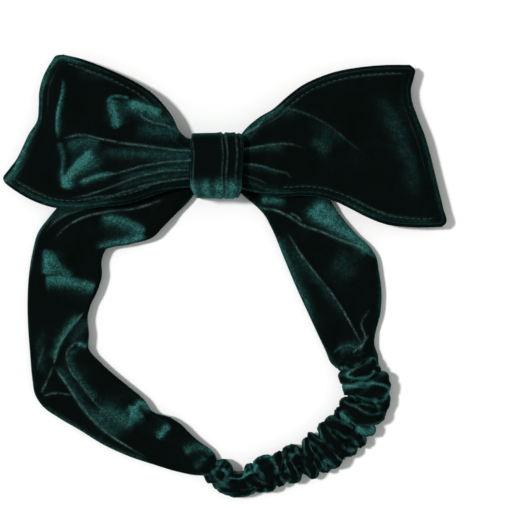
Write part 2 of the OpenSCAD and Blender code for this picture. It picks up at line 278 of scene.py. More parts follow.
def make_mesh(name, points, faces, attributes, uv):
    """A smooth mesh object from points in mm, with a UV, and one value per point for each attribute."""
    used, faces = np.unique(faces, return_inverse=True)
    faces = faces.reshape(-1, 4)
    points, uv = points[used], uv[used]
    a, b, c = (points[faces[:, k]] for k in (0, 1, 2))
    d = points[faces[:, 3]]
    volume = (np.cross(b - a, c - a) * a).sum() + (np.cross(c - a, d - a) * a).sum()
    if volume < 0:
        faces = faces[:, ::-1]
    mesh = bpy.data.meshes.new(name)
    mesh.vertices.add(len(points))
    mesh.vertices.foreach_set("co", (points * MM).astype(np.float32).ravel())
    whole = faces[~degenerate(faces)]
    corners = [list(dict.fromkeys(quad)) for quad in faces[degenerate(faces)].tolist()]
    corners = [corner for corner in corners if len(corner) == 3]
    loops = np.concatenate([whole.ravel()] + corners)
    starts = np.concatenate([np.arange(len(whole)) * 4, whole.size + 3 * np.arange(len(corners))])
    mesh.loops.add(len(loops))
    mesh.loops.foreach_set("vertex_index", loops.astype(np.int32))
    mesh.polygons.add(len(starts))
    mesh.polygons.foreach_set("loop_start", starts.astype(np.int32))
    mesh.update(calc_edges=True)
    mesh.validate()
    mesh.polygons.foreach_set("use_smooth", np.ones(len(mesh.polygons), bool))
    layer = mesh.uv_layers.new(name="cloth")
    index = np.zeros(len(mesh.loops), np.int32)
    mesh.loops.foreach_get("vertex_index", index)
    layer.data.foreach_set("uv", (uv[index] * MM).astype(np.float32).ravel())
    # Painted sheen: the colour is brightened where the cloth turns steeply away from the horizontal.
    normals = np.zeros(len(points) * 3, np.float32)
    mesh.vertex_normals.foreach_get("vector", normals)
    painted_slope_sheen = 0.75 * (1 - np.abs(normals[2::3])) ** 1.5
    for key, values in attributes.items():
        attribute = mesh.attributes.new(key, "FLOAT", "POINT")
        extra = painted_slope_sheen if key == "painted_light" else 0
        attribute.data.foreach_set("value", (values[used] + extra).astype(np.float32))
    obj = bpy.data.objects.new(name, mesh)
    bpy.context.scene.collection.objects.link(obj)
    return obj


def degenerate(faces):
    """Which quads use one point twice."""
    ordered = np.sort(faces, axis=1)
    return (ordered[:, 1:] == ordered[:, :-1]).any(axis=1)


def pillow_faces(rows, columns, ring):
    """The quads of two grids that share their side edges. Along the grid they close on themselves if ring
    is true; otherwise a wall closes the start, and the two grids share their last row."""
    count = rows * columns
    number = np.arange(2 * count).reshape(2, rows, columns)
    number[1, :, 0] = number[0, :, 0]
    number[1, :, -1] = number[0, :, -1]
    if ring:
        number[:, -1, :] = number[:, 0, :]
        number[1, -1, 0], number[1, -1, -1] = number[0, 0, 0], number[0, 0, -1]
    else:
        number[1, -1, :] = number[0, -1, :]
    flat = number.ravel()
    upper = flat[grid_faces(rows, columns)]
    lower = flat[grid_faces(rows, columns, count)][:, ::-1]
    if ring:
        return np.concatenate([upper, lower])
    a, b = number[:, 0]
    return np.concatenate([upper, lower, np.stack([a[:-1], a[1:], b[1:], b[:-1]], axis=1)])


def pillow(name, top, bottom, painted_light, wear_and_highlight, uv, ring=False):
    """A closed mesh from two grids that share their side edges. Only its top has painted light and crease
    lines (partly wear, partly painted highlight).
    """
    faces = pillow_faces(*top.shape[:2], ring)
    points = np.concatenate([top.reshape(-1, 3), bottom.reshape(-1, 3)])
    values = {key: np.append(v.ravel(), np.zeros(v.size)) for key, v in (("painted_light", painted_light), ("wear_and_highlight", wear_and_highlight))}
    return make_mesh(name, points, faces, values, np.tile(uv.reshape(-1, 2), (2, 1)))


def tube_faces(rows, columns):
    """The quads of a tube whose columns run round it, with a fan to one added point at each end."""
    number = np.arange(rows * columns).reshape(rows, columns)
    number[:, -1] = number[:, 0]
    fans = []
    for row, order, hub in ((0, 1, rows * columns), (-1, -1, rows * columns + 1)):
        rim, centre = number[row], np.full(columns - 1, hub)
        fans.append(np.stack([rim[:-1], rim[1:], centre, centre], axis=1)[:, ::order])
    return np.concatenate([number.ravel()[grid_faces(rows, columns)]] + fans)


def tube(name, points, attributes, uv):
    """A closed tube from a grid whose columns run round it."""
    rows, columns = points.shape[:2]
    hubs = [points[0, :-1].mean(axis=0), points[-1, :-1].mean(axis=0)]
    flat = np.concatenate([points.reshape(-1, 3), hubs])
    uv = np.concatenate([uv.reshape(-1, 2), [uv[0, 0], uv[-1, 0]]])
    values = {key: np.append(v.ravel(), [0.0, 0.0]) for key, v in attributes.items()}
    return make_mesh(name, flat, tube_faces(rows, columns), values, uv)


def sewn(name, starts, ends, radius, up=(0, 0, 1)):
    """A row of stitches in one mesh. Each is a spindle from its start to its end that arches up by its own
    radius; it is radius * (0.3 + 0.7 sqrt(1 - (2t - 1)^2)) thick at the share t of its length."""
    rows, columns = 6, 9
    t, turn = np.linspace(0, 1, rows), np.linspace(0, 2 * math.pi, columns)
    starts, run = np.asarray(starts, float), np.asarray(ends, float) - np.asarray(starts, float)
    side = np.cross(run, np.broadcast_to(up, run.shape))
    side /= np.linalg.norm(side, axis=1, keepdims=True)
    over = np.cross(side, run)
    over /= np.linalg.norm(over, axis=1, keepdims=True)
    thick = radius * (0.3 + 0.7 * np.sqrt(1 - (2 * t - 1) ** 2))
    arch = (radius * np.sin(math.pi * t))[:, None] * over[:, None]
    spine = starts[:, None] + t[:, None] * run[:, None] + arch
    around = np.cos(turn)[:, None] * side[:, None, None] + np.sin(turn)[:, None] * over[:, None, None]
    grid = spine[:, :, None] + thick[:, None, None] * around
    count = len(starts)
    one = np.concatenate([grid.reshape(count, -1, 3), spine[:, :1], spine[:, -1:]], axis=1)
    faces = tube_faces(rows, columns)[None] + (np.arange(count) * one.shape[1])[:, None, None]
    flat = one.reshape(-1, 3)
    piece = make_mesh(name, flat, faces.reshape(-1, 4), {}, flat[:, :2])
    return finish(piece, "thread", thread_finish)


# ---- Padding by cloth simulation ----------------------------------------------------------------

PRESSURE = 4
SETTLING_FRAMES = 20


def thinned(count):
    """Every fourth or so of the numbers from 0 to count - 1, with both ends."""
    return np.unique(np.round(np.linspace(0, count - 1, max(6, count // 4))).astype(int))


def spread(moves, rows, columns, at_rows, at_columns):
    """Moves known at some rows and columns of a grid, at other rows and columns, by straight lines between
    the known ones."""
    down = np.stack([np.interp(at_rows, rows, line) for line in np.eye(len(rows))], axis=1)
    over = np.stack([np.interp(at_columns, columns, line) for line in np.eye(len(columns))], axis=1)
    return np.einsum("ri,cj,ijk->rck", down, over, moves)


def blown_up(points, faces, held, pressure, cap):
    """How far each point of a closed cloth moves, in mm, when it is blown up for some frames without
    gravity. The held points stay where they are, and no point moves further than cap."""
    scene = bpy.context.scene
    used, local = np.unique(faces, return_inverse=True)
    local = local.reshape(-1, 4)
    mesh = bpy.data.meshes.new("padding")
    corners = [list(dict.fromkeys(face)) for face in local.tolist()]
    mesh.from_pydata((points[used] * MM).tolist(), [], [face for face in corners if len(face) > 2])
    obj = bpy.data.objects.new("padding", mesh)
    scene.collection.objects.link(obj)
    group = obj.vertex_groups.new(name="held")
    group.add(np.flatnonzero(held[used]).tolist(), 1.0, "REPLACE")
    modifier = obj.modifiers.new("Cloth", "CLOTH")
    cloth = modifier.settings
    cloth.quality = 6
    cloth.mass = 0.15
    cloth.tension_stiffness = 25
    cloth.compression_stiffness = 25
    cloth.shear_stiffness = 12
    cloth.bending_stiffness = 0.6
    cloth.use_pressure = True
    cloth.uniform_pressure_force = pressure
    cloth.effector_weights.gravity = 0
    cloth.vertex_group_mass = "held"
    for frame_number in range(1, SETTLING_FRAMES + 1):
        scene.frame_set(frame_number)
    shaped = obj.evaluated_get(bpy.context.evaluated_depsgraph_get()).data
    after = np.zeros(len(used) * 3, np.float32)
    shaped.vertices.foreach_get("co", after)
    move = np.zeros_like(points)
    move[used] = after.reshape(-1, 3) / MM - points[used]
    bpy.data.objects.remove(obj)
    bpy.data.meshes.remove(mesh)
    scene.frame_set(1)
    far = np.linalg.norm(move, axis=1, keepdims=True)
    if not np.isfinite(far).all():
        raise RuntimeError("the padding's simulation broke up")
    return move * np.minimum(1, cap / np.maximum(far, 1e-9))


def padded_out(top, bottom, held, pressure, cap, ring=False):
    """The two grids of a pillow with its padding blown up. The cloth that is simulated is a thinner copy of
    the same grid, and its moves are carried back, so the creases keep their fine shape."""
    rows, columns = thinned(top.shape[0]), thinned(top.shape[1])
    grids = [grid[np.ix_(rows, columns)] for grid in (top, bottom)]
    faces = pillow_faces(len(rows), len(columns), ring)
    still = np.tile(held[np.ix_(rows, columns)].ravel(), 2)
    move = blown_up(np.concatenate([g.reshape(-1, 3) for g in grids]), faces, still, pressure, cap)
    move = move.reshape(2, len(rows), len(columns), 3)
    move[1, :, 0], move[1, :, -1] = move[0, :, 0], move[0, :, -1]
    if ring:
        move[:, -1] = move[:, 0]
    else:
        move[1, -1] = move[0, -1]
    at_rows, at_columns = np.arange(top.shape[0]), np.arange(top.shape[1])
    top_move, bottom_move = (spread(side, rows, columns, at_rows, at_columns) for side in move)
    return top + top_move, bottom + bottom_move


def patch(low, high, inner, outer, u, v):
    """A plane patch between four edges: (1 - v) low(u) + v high(u) + (1 - u) inner(v) + u outer(v), less
    the bilinear blend of its corners, so that it meets all four."""
    a, b = even(low, 400), even(high, 400)
    c, d = even(inner, 400), even(outer, 400)
    at = np.linspace(0, 1, 400)

    def pick(line, share):
        return np.stack([np.interp(share, at, line[:, k]) for k in (0, 1)], axis=-1)

    low_u, high_u = pick(a, u)[:, None], pick(b, u)[:, None]
    inner_v, outer_v = pick(c, v)[None], pick(d, v)[None]
    u, v = u[:, None, None], v[None, :, None]
    corners = (1 - u) * ((1 - v) * a[0] + v * b[0]) + u * ((1 - v) * a[-1] + v * b[-1])
    return (1 - v) * low_u + v * high_u + (1 - u) * inner_v + u * outer_v - corners


def eased(count, strength=0.75):
    """Shares from 0 to 1 that lie closer together near both ends."""
    t = np.linspace(0, 1, count)
    return (1 - strength) * t + strength * (1 - np.cos(math.pi * t)) / 2


def dome(d, reach):
    """A quarter round: sqrt(1 - (1 - d / reach)^2) up to reach, then 1."""
    t = np.clip(d / reach, 0, 1)
    return np.sqrt(np.clip(1 - (1 - t) ** 2, 0, 1))


# ---- Materials ----------------------------------------------------------------------------------


class Value:
    """A socket of numbers in a material, so that shader maths reads as Python."""

    def __init__(self, finish, socket):
        self.finish = finish
        self.socket = socket

    def math(self, operation, *others):
        return self.finish.node("ShaderNodeMath", {"operation": operation}, {
            k: other for k, other in enumerate([self, *others])})

    def __add__(self, other):
        return self.math("ADD", other)

    def __sub__(self, other):
        return self.math("SUBTRACT", other)

    def __rsub__(self, other):
        return self * -1.0 + other

    def __mul__(self, other):
        return self.math("MULTIPLY", other)

    def __pow__(self, other):
        return self.math("POWER", other)

    __radd__ = __add__
    __rmul__ = __mul__

    def clamped(self):
        return self.finish.node("ShaderNodeClamp", {}, {0: self})


class Finish:
    """A material and its nodes."""

    def __init__(self, name):
        self.material = bpy.data.materials.new(name)
        self.material.use_nodes = True
        self.tree = self.material.node_tree
        self.shader = self.tree.nodes["Principled BSDF"]

    def node(self, kind, settings=None, inputs=None, output=0):
        """Adds a node, sets it up, links or fills its inputs, and returns one of its outputs."""
        new = self.tree.nodes.new(kind)
        for key, value in (settings or {}).items():
            setattr(new, key, value)
        for key, value in (inputs or {}).items():
            if isinstance(value, Value):
                self.tree.links.new(value.socket, new.inputs[key])
            else:
                new.inputs[key].default_value = value
        return Value(self, new.outputs[output])

    def attribute(self, name):
        return self.node("ShaderNodeAttribute", {"attribute_name": name}, output="Fac")

    def position(self):
        return self.node("ShaderNodeTexCoord", output="Object")

    def cloth_uv(self):
        return self.node("ShaderNodeUVMap", {"uv_map": "cloth"})

    def noise(self, where, scale, detail=2.0, roughness=0.5, distortion=0.0):
        return self.node("ShaderNodeTexNoise", {}, {
            "Vector": where, "Scale": scale, "Detail": detail, "Roughness": roughness,
            "Distortion": distortion})

    def mixed(self, factor, first, second):
        """A colour between two colours, each a link or four numbers."""
        return self.node("ShaderNodeMix", {"data_type": "RGBA"}, {0: factor, 6: first, 7: second}, output=2)

    def bumped(self, height, strength, distance):
        return self.node("ShaderNodeBump", {}, {
            "Strength": strength, "Distance": distance, "Height": height})

    def set(self, **sockets):
        """Sets the shader's own sockets, with underscores for the spaces in their names."""
        for key, value in sockets.items():
            socket = self.shader.inputs[key.replace("_", " ")]
            if isinstance(value, Value):
                self.tree.links.new(value.socket, socket)
            else:
                socket.default_value = value
        return self


def solid(colour):
    """An opaque colour."""
    return (*colour, 1.0)


def velvet(name):
    """Velvet: a near-black pile with painted light: it turns teal in painted sheen patches, is darker in
    painted shade patches, and is brightened by a painted sheen where the view grazes the cloth; with a
    random tone broken up by tufts, a fine grain, and a paler line along sharp creases that is partly worn
    backing and partly painted highlight."""
    look = settings("velvet")
    f = Finish(name)
    where = f.position()
    grain = ((f.noise(where, 1500, 3, 0.7) - 0.40) * 3.4).clamped()
    tufts = ((f.noise(where, 520, 4, 0.65) - 0.34) * 2.8).clamped()
    clouds = f.noise(where, 60, 4, 0.6, 0.8)
    # Painted sheen: the base colour brightens where the view grazes the cloth.
    grazing = f.node("ShaderNodeLayerWeight", {}, {"Blend": 0.5}, output="Facing")
    slope = (grazing * 1.2) ** 3.0
    # The painted light attribute holds painted highlight and painted shade; the clouds add a random tone.
    painted_light = f.attribute("painted_light") + (clouds - 0.48) * 0.42
    broken = (painted_light * (0.60 + 0.62 * tufts) + slope * (0.1 + 0.2 * tufts)).clamped()
    # How far the base colour goes to the painted sheen colour.
    painted_light_share = (broken * (0.50 + 0.84 * grain)).clamped() ** 1.75
    pile = f.mixed(painted_light_share, solid(look.shade), solid(look.painted_sheen))
    # The pale crease lines: partly worn backing, partly painted highlight.
    worn_and_lit = (f.noise(where, 230, 3, 0.6) - 0.36) * 3.2
    wear_and_highlight = (f.attribute("wear_and_highlight") * (0.1 + 1.0 * grain) * (0.25 + 0.85 * worn_and_lit.clamped())).clamped()
    colour = f.mixed(wear_and_highlight, pile, solid(look.worn_and_lit))
    f.set(Base_Color=colour, Roughness=0.65 + 0.2 * grain, Specular_IOR_Level=0.0,
          Normal=f.bumped(grain * 0.6 + tufts * 0.4, 0.5, 0.0004),
          Sheen_Weight=0.07, Sheen_Roughness=0.3, Sheen_Tint=solid(look.sheen))
    return f.material


def thread_finish():
    """Spun sewing thread: fine twisted ply along each stitch."""
    look = settings("velvet")
    f = Finish("sewing_thread")
    where = f.position()
    ply = f.node("ShaderNodeTexWave", {"wave_type": "BANDS", "bands_direction": "DIAGONAL"}, {
        "Vector": where, "Scale": 900, "Distortion": 1.5, "Detail": 1.0})
    colour = f.mixed(ply * 0.4 + 0.05, solid(look.shade), solid(look.painted_sheen))
    f.set(Base_Color=colour, Roughness=0.6, Normal=f.bumped(ply, 0.5, 0.0002), Specular_IOR_Level=0.2)
    return f.material


def elastic_finish():
    """Braided elastic tape: ribs along it, and a finer weave across them."""
    f = Finish("braided_elastic")
    cloth = f.cloth_uv()
    ribs = f.node("ShaderNodeTexWave", {"bands_direction": "Y"}, {"Vector": cloth, "Scale": 320})
    weave = f.node("ShaderNodeTexWave", {"bands_direction": "X"}, {
        "Vector": cloth, "Scale": 700, "Distortion": 1.0})
    relief = ribs * 0.7 + weave * 0.3
    colour = f.mixed(relief, (0.006, 0.009, 0.009, 1), (0.03, 0.042, 0.042, 1))
    f.set(Base_Color=colour, Roughness=0.6, Normal=f.bumped(relief, 0.6, 0.0004))
    return f.material


FINISHES = {}


def finish(obj, name, maker):
    """Gives a piece its material, made once."""
    if name not in FINISHES:
        FINISHES[name] = maker()
    obj.data.materials.clear()
    obj.data.materials.append(FINISHES[name])
    return obj


def velvet_piece(obj):
    """A piece in the headband's own velvet."""
    return finish(obj, "velvet", lambda: velvet("dark_teal_velvet"))


# ---- The bow's wings ----------------------------------------------------------------------------

# Points are X and Y in mm. Each crease: its line, its height, its width to its left and to its right, its
# pale line (partly wear, partly painted highlight), and the shares of it that fade in and out. Each painted
# sheen patch (painted highlight, or painted shade where its strength is negative): its line, its strength,
# its width, or its width to its left and to its right, and the shares of it that fade in and out.
LEFT_EDGES = {
    "low": [(-11, -11.5), (-21.6, -12.8), (-29.9, -15), (-38.2, -17.9), (-46.5, -20.4), (-58.9, -21.8),
            (-73, -23.3), (-83, -22.6), (-94, -19.3), (-105, -13.2), (-109.6, -9.8)],
    "high": [(-11, 13), (-15.5, 14), (-19.2, 17.5), (-22.2, 23.8), (-26.5, 30), (-32.5, 36.4), (-41, 42.2),
             (-51, 47.3), (-61, 51.6), (-71, 55.2), (-79.5, 57.2)],
    "inner": [(-11, -11.5), (-11, 1), (-11, 13)],
    "outer": [(-109.6, -9.8), (-110.8, -7.5), (-107.5, -2), (-104, 2.6), (-100.5, 9.5), (-97.5, 15.8),
              (-93, 23.2), (-92.3, 30), (-92, 38), (-89.6, 46.5), (-86, 53), (-83.3, 56.6), (-79.5, 57.2)],
}
LEFT_CREASES = [
    ([(-11, 6.4), (-25.8, 7.6), (-38.2, 9.5), (-49.8, 11.1), (-59.7, 13.2), (-71.4, 15), (-79.5, 13.2)],
     2.3, 6.5, 0.8, 0.75, 0, 0.10),
    ([(-11, 1.8), (-25.8, 0.8), (-38.2, -1.3), (-49.8, -4.6), (-59.7, -6.3), (-65.5, -8.4), (-69.4, -12.4)],
     1.9, 0.8, 3.6, 0.65, 0, 0.16),
    ([(-11, -3), (-29.9, -4.2), (-42.3, -7.5), (-54.8, -12.1), (-66.4, -15.8), (-78, -17.8)],
     1.5, 0.7, 2.2, 0.5, 0, 0.25),
    ([(-11, -7), (-22, -8.3), (-34, -10.4), (-48.1, -14.6), (-60, -18.2), (-70, -19.6)],
     1.4, 0.7, 2.0, 0.5, 0, 0.35),
    ([(-12, 14.6), (-19.1, 16.8), (-26.6, 20), (-33, 21.6), (-38.2, 24.6), (-39.6, 26.6)],
     1.9, 0.6, 3.4, 0.7, 0, 0.15),
    ([(-27, 27.4), (-34, 29.4), (-41.5, 30), (-46, 33.6), (-52, 35.0), (-56.4, 32.6), (-56, 27),
      (-53.6, 20), (-52.2, 16)], 2.5, 1.6, 4.2, 0, 0.25, 0.15),
    ([(-80, 50), (-80.2, 36), (-81.7, 27.7), (-82.5, 19.4), (-81.7, 10), (-80, 2), (-79, -10)],
     2.1, 1.4, 4.6, 0, 0.2, 0.2),
    ([(-60, 10), (-66, 4.4), (-72.4, -1.4), (-77.6, -7.4), (-78.2, -15)], 2.4, 3.8, 1.6, 0, 0.25, 0.2),
    ([(-71, 24), (-67, 34), (-64, 44)], -1.8, 7, 7, 0, 0.3, 0.3),
    ([(-95, 4), (-90, 12), (-87, 22)], -1.2, 4, 4, 0, 0.3, 0.3),
    ([(-46, 24), (-38, 19), (-26, 14)], -1.3, 3, 3, 0, 0.3, 0.3),
    ([(-64, -13), (-70, -15.5), (-76, -13)], -1.0, 2, 2, 0, 0.3, 0.3),
]
# Painted highlight and painted shade patches on the left wing.
LEFT_PAINTED_SHEEN = [
    ([(-27, 26.6), (-31, 27.8), (-36, 29.4), (-42, 31.4), (-46, 33.2)], 1.2, (2.4, 1.2), 0.2, 0.25),
    ([(-44, 33.8), (-49, 35), (-53.6, 34.8), (-56.4, 32)], 0.85, 0.8, 0.15, 0.1),
    ([(-54.4, 34), (-54.6, 30.2), (-53.2, 24), (-51.4, 17)], 1.15, (3.2, 1.5), 0.1, 0.2),
    ([(-50, 31), (-44, 29), (-36, 27)], 0.35, 3.4, 0.2, 0.2),
    ([(-79.8, 47), (-79.4, 40), (-80.4, 34), (-81.9, 27.7), (-82.5, 20), (-82, 12)],
     1.2, (1.4, 0.6), 0.3, 0.2),
    ([(-81.6, 12), (-79, 3), (-79.8, -6), (-78.4, -13)], 0.75, 1.0, 0.1, 0.1),
    ([(-63, 8), (-68, 3.6), (-73, -1.6), (-77, -8), (-77.2, -14)], 1.25, (2.9, 1.4), 0.2, 0.12),
    ([(-58, 11.6), (-70, 12.5), (-79, 9)], 0.5, (4.5, 1.0), 0.2, 0.2),
    ([(-72, -10), (-66, -7.4), (-60, -5.6), (-52, -4)], 0.9, (0.8, 2.0), 0.2, 0.3),
    ([(-76, -3), (-66, 0), (-56, 2)], 0.5, 3.4, 0.3, 0.4),
    ([(-13, 4.4), (-34, 5), (-52, 6), (-64, 6)], 0.42, (3.2, 2.4), 0, 0.3),
    ([(-14, -0.8), (-36, -4.4), (-54, -9)], 0.34, 1.4, 0, 0.3),
    ([(-14, -5.2), (-34, -8), (-56, -14)], 0.30, 1.2, 0, 0.3),
    ([(-110, -8), (-107, -6), (-102.4, 3), (-98.6, 12), (-94, 22), (-92.6, 34), (-89, 48)],
     0.75, (0.9, 2.4), 0, 0.1),
    ([(-92, 42), (-87, 51), (-81, 55.6), (-73, 53.4), (-66, 50)], 0.62, (2.2, 1.6), 0.2, 0.4),
    ([(-76, 46), (-64, 46), (-52, 41)], 0.16, 4, 0.3, 0.4),
    ([(-18, 15), (-30, 17), (-44, 19)], 0.36, (3.6, 4.4), 0.1, 0.3),
    ([(-22, 22), (-30, 24), (-38, 26)], 0.32, 2.2, 0.2, 0.3),
    ([(-50, -18.4), (-66, -21), (-82, -20.6), (-96, -15.4), (-106, -8.6)], 0.32, 1.6, 0.2, 0.2),
    ([(-69, 44), (-68, 34), (-70, 22)], -0.40, 6.5, 0.2, 0.2),
    ([(-60, 42), (-50, 40), (-40, 35.4)], -0.3, 3.5, 0.3, 0.2),
    ([(-46, 22), (-50, 14), (-62, 18)], -0.32, 3.0, 0.2, 0.2),
    ([(-88, 44), (-88, 28), (-89, 14), (-92, 0), (-90, -10)], -0.30, 3.2, 0.1, 0.1),
]
RIGHT_EDGES = {
    "low": [(11, -12), (17.3, -13.8), (26.3, -16), (36.1, -16.6), (45.1, -16.1), (54, -16.9), (60.3, -18.7),
            (69.2, -22.8), (77, -26.8), (87.2, -30.8), (102.4, -32.6), (116.8, -32.4)],
    "high": [(11, 13.6), (16.4, 19.8), (22.4, 24.6), (29.1, 28.6), (36.4, 35), (44.7, 41.2), (52, 44.8),
             (60.3, 47.8), (74.4, 50.6), (88, 51.8), (100.4, 51.9)],
    "inner": [(11, -12), (11, 1), (11, 13.6)],
    "outer": [(116.8, -32.4), (119, -30.4), (117.6, -22.4), (115.4, -13), (113, -3), (110.8, 6),
              (108, 15.4),
              (104.4, 24.6), (101.4, 33.8), (101, 39.5), (102.4, 45), (103, 49.4), (100.4, 51.9)],
}
RIGHT_CREASES = [
    ([(11, 14.2), (16.4, 16.4), (21.8, 19.5), (24.2, 22.6)], 1.9, 0.6, 2.4, 0.65, 0, 0.2),
    ([(26, 27.6), (35.2, 28.5), (43.3, 26.9), (51.3, 23.4), (60.3, 18), (68.3, 11.3), (79.1, 3.2)],
     1.5, 5.0, 2.0, 0.24, 0.12, 0.35),
    ([(11, 7.2), (21.8, 8.8), (32.5, 10.2), (39.7, 9.9), (47.5, 7.4)], 1.8, 0.8, 4.0, 0.55, 0, 0.3),
    ([(11, 0.3), (21.8, -0.8), (30.7, -3.5), (36.1, -4.8), (39.4, -8)], 1.6, 0.7, 3.0, 0.5, 0, 0.25),
    ([(11, -5), (20, -7.5), (28, -11)], 1.1, 0.7, 2.2, 0.22, 0, 0.4),
    ([(80, 40), (88, 28), (95, 12), (100, -6), (104, -24)], 1.5, 9, 6, 0, 0.25, 0.15),
    ([(64, 38), (76, 20), (86, -2), (90, -20)], -1.8, 7, 9, 0, 0.3, 0.3),
    ([(48, 12), (56, 7.7), (62, 1)], 1.1, 4, 4, 0, 0.35, 0.35),
    ([(30, 20), (42, 17), (52, 12)], -1.0, 4, 4, 0, 0.3, 0.4),
]
# Painted highlight patches on the right wing.
RIGHT_PAINTED_SHEEN = [
    ([(13, 14), (18, 17.4), (24, 23), (32, 29)], 0.42, (1.4, 2.6), 0, 0.3),
    ([(26, 27), (36, 27.5), (46, 24.4)], 0.26, (2.0, 3.6), 0.15, 0.4),
    ([(13, 7), (24, 8.6), (38, 8.8)], 0.30, (1.0, 2.6), 0, 0.3),
    ([(13, 0), (24, -1.8), (36, -5.4)], 0.26, (1.0, 2.0), 0, 0.3),
    ([(47, 13), (54, 9), (58, 4)], 0.36, (4.0, 2.6), 0.35, 0.35),
    ([(44, 22), (58, 16), (68, 8)], 0.12, 3, 0.3, 0.35),
    ([(84, 42), (88, 30), (94, 18), (100, 2), (105, -20)], 0.30, (3.4, 6.0), 0.25, 0.2),
    ([(60, -15), (78, -24.6), (95, -28), (114, -29.6)], 0.22, 1.3, 0.2, 0.1),
    ([(102.2, 47), (101.4, 34), (108, 14), (114, -10), (118, -29)], 0.25, 1.0, 0.1, 0.1),
    ([(14, -8), (28, -13.6), (44, -14.4)], 0.24, 1.4, 0.1, 0.3),
]


def opened_seam(xy, end_gap, seed):
    """How clearly the allowance shows, from 0 to 1: uneven along the seam, and faint near the outer
    edge."""
    uneven = np.clip(0.50 + 0.55 * ripple(xy, 34, seed + 5, 4), 0.08, 1)
    return uneven * (0.25 + 0.75 * smooth((end_gap - 4) / 7))


def wing(name, edges, creases, patches, seed):
    """One padded wing. Its plane shape is a patch between its four edges. With d the distance from the
    sewn edges, the front stands off the seam by a rolled allowance, a groove where the allowance ends,
    and a pillow puff * sqrt(1 - (1 - d / reach)^2); the creases are added to it, and the back is a
    shallower pillow."""
    bow = sizes("bow")
    across = max(length_of(edges["outer"]), length_of(edges["inner"]))
    reach = max(length_of(edges["low"]), length_of(edges["high"]))
    u, v = eased(int(reach / bow.spacing), 0.45), eased(int(across / bow.spacing), 0.6)
    xy = patch(edges["low"], edges["high"], edges["inner"], edges["outer"], u, v)
    low, outer, high = even(edges["low"], 160), even(edges["outer"], 140), even(edges["high"], 160)
    d = distance(xy, np.concatenate([low, outer[1:], high[-2::-1]]))[0]
    d[:, 0] = d[:, -1] = 0
    d[-1] = 0
    from_middle = np.abs(xy[..., 0])
    droop_reach = 70
    out = smooth((from_middle - HINGE_X) / droop_reach)
    seam = SEAM_Z - bow.droop * out**1.5 + 0.5 * out * ripple(xy, 55, seed + 1, 3)
    # The stitched line of the allowance shows along the long seams, and hardly at the outer edge.
    end_gap = distance(xy, even(edges["outer"], 120))[0]
    shown = opened_seam(xy, end_gap, seed)
    # Inside the knot the cloth is one bundle, and it opens out to the wing's full puff.
    bundle_rise, opening = 5.6, 26
    opened = smooth((from_middle - BUNDLE_X) / opening)
    inside = np.maximum(d - bow.allowance * 0.35 * opened, 0)
    crest = (bundle_rise + (bow.puff - bundle_rise) * opened) * dome(inside, 9 + 15 * opened)
    roll = 1.25 * dome(d, 2.2) * (0.35 + 0.65 * opened)
    groove = -0.7 * np.exp(-(((d - bow.allowance) / 0.55) ** 2)) * opened * shown
    lip = 0.55 * np.exp(-(((d - bow.allowance - 0.9) / 0.6) ** 2)) * opened * shown
    rise, wear_and_highlight = creased(xy, creases)
    held = smooth(d / 3.5)
    uneven = 0.45 * ripple(xy, 17, seed, 6) * smooth((d - bow.allowance) / 8) * opened
    top = roll + crest * 0.86 + groove + lip + (rise + uneven) * held
    # Narrow gathers run out of the knot and die away.
    angle = v[None, :] * 2 * math.pi
    fan = np.exp(-((from_middle - BUNDLE_X) / 16)) * held
    top = top + 0.55 * fan * np.sin(5.5 * angle + 1.3 * np.sin(angle) + seed)
    back = bow.back_puff * dome(np.maximum(d, 0), 14) + 3.2 * (1 - opened) * dome(d, 9)
    # Painted highlight and painted shade patches, faded out at the wing's rim.
    painted_light = painted_sheen(xy, patches) * smooth((d + 1) / 2)
    # The pale line along the seam allowance: partly wear, partly painted highlight.
    wear_and_highlight = wear_and_highlight * held + 0.34 * np.exp(-(((d - bow.allowance - 0.5) / 0.4) ** 2)) * opened * shown
    upper = np.dstack([xy, seam + np.maximum(top, 0)])
    lower = np.dstack([xy, seam - back])
    # The knot holds the bundle, and the flat seam allowance holds the rim.
    still = (from_middle < 20) | (d < bow.allowance * 0.9)
    upper, lower = padded_out(upper, lower, still, PRESSURE, 1.2)
    uv = np.dstack(np.broadcast_arrays(u[:, None] * reach, v[None, :] * across))
    piece = pillow(name, upper, lower, painted_light, wear_and_highlight, uv)
    # The stitches lie in the groove along both long seams.
    starts, ends = [], []
    for columns in (slice(2, len(v) // 2), slice(len(v) // 2, len(v) - 2)):
        away = np.abs(d[:, columns] - bow.allowance)
        line = upper[:, columns][np.arange(len(u)), away.argmin(axis=1)]
        clear = (np.abs(line[:, 0]) > 34) & (end_gap[:, columns].min(axis=1) > 4)
        line = line[(away.min(axis=1) < 0.5) & clear]
        line = even(line[::4], int(length_of(line[::4]) / 2.9)) - (0, 0, 0.12)
        starts.append(line[:-1])
        ends.append(line[:-1] + 0.84 * np.diff(line, axis=0))
    sewn_line = sewn(f"{name}_stitches", np.concatenate(starts), np.concatenate(ends), 0.2)
    return piece, sewn_line


def sew_wing(side, edges, creases, patches, seed):
    """A wing and its seam stitches on the frame; the stitches go with the wing's body."""
    body = f"{side}_wing"
    piece, sewn_line = wing(f"{side}_bow_wing", edges, creases, patches, seed)
    velvet_piece(piece)
    sign = -1 if side == "left" else 1
    start = (sign * (HINGE_X - 3) * MM, 0, SEAM_Z * MM)
    end = (sign * (HINGE_X + 9) * MM, 0, SEAM_Z * MM)
    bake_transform(piece)
    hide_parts(f"{side}_bow_front", f"{side}_bow_back", f"{side}_bow_interlining")
    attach(sewn_line, body)
    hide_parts(f"{side}_bow_stitching")


# ---- The band -----------------------------------------------------------------------------------

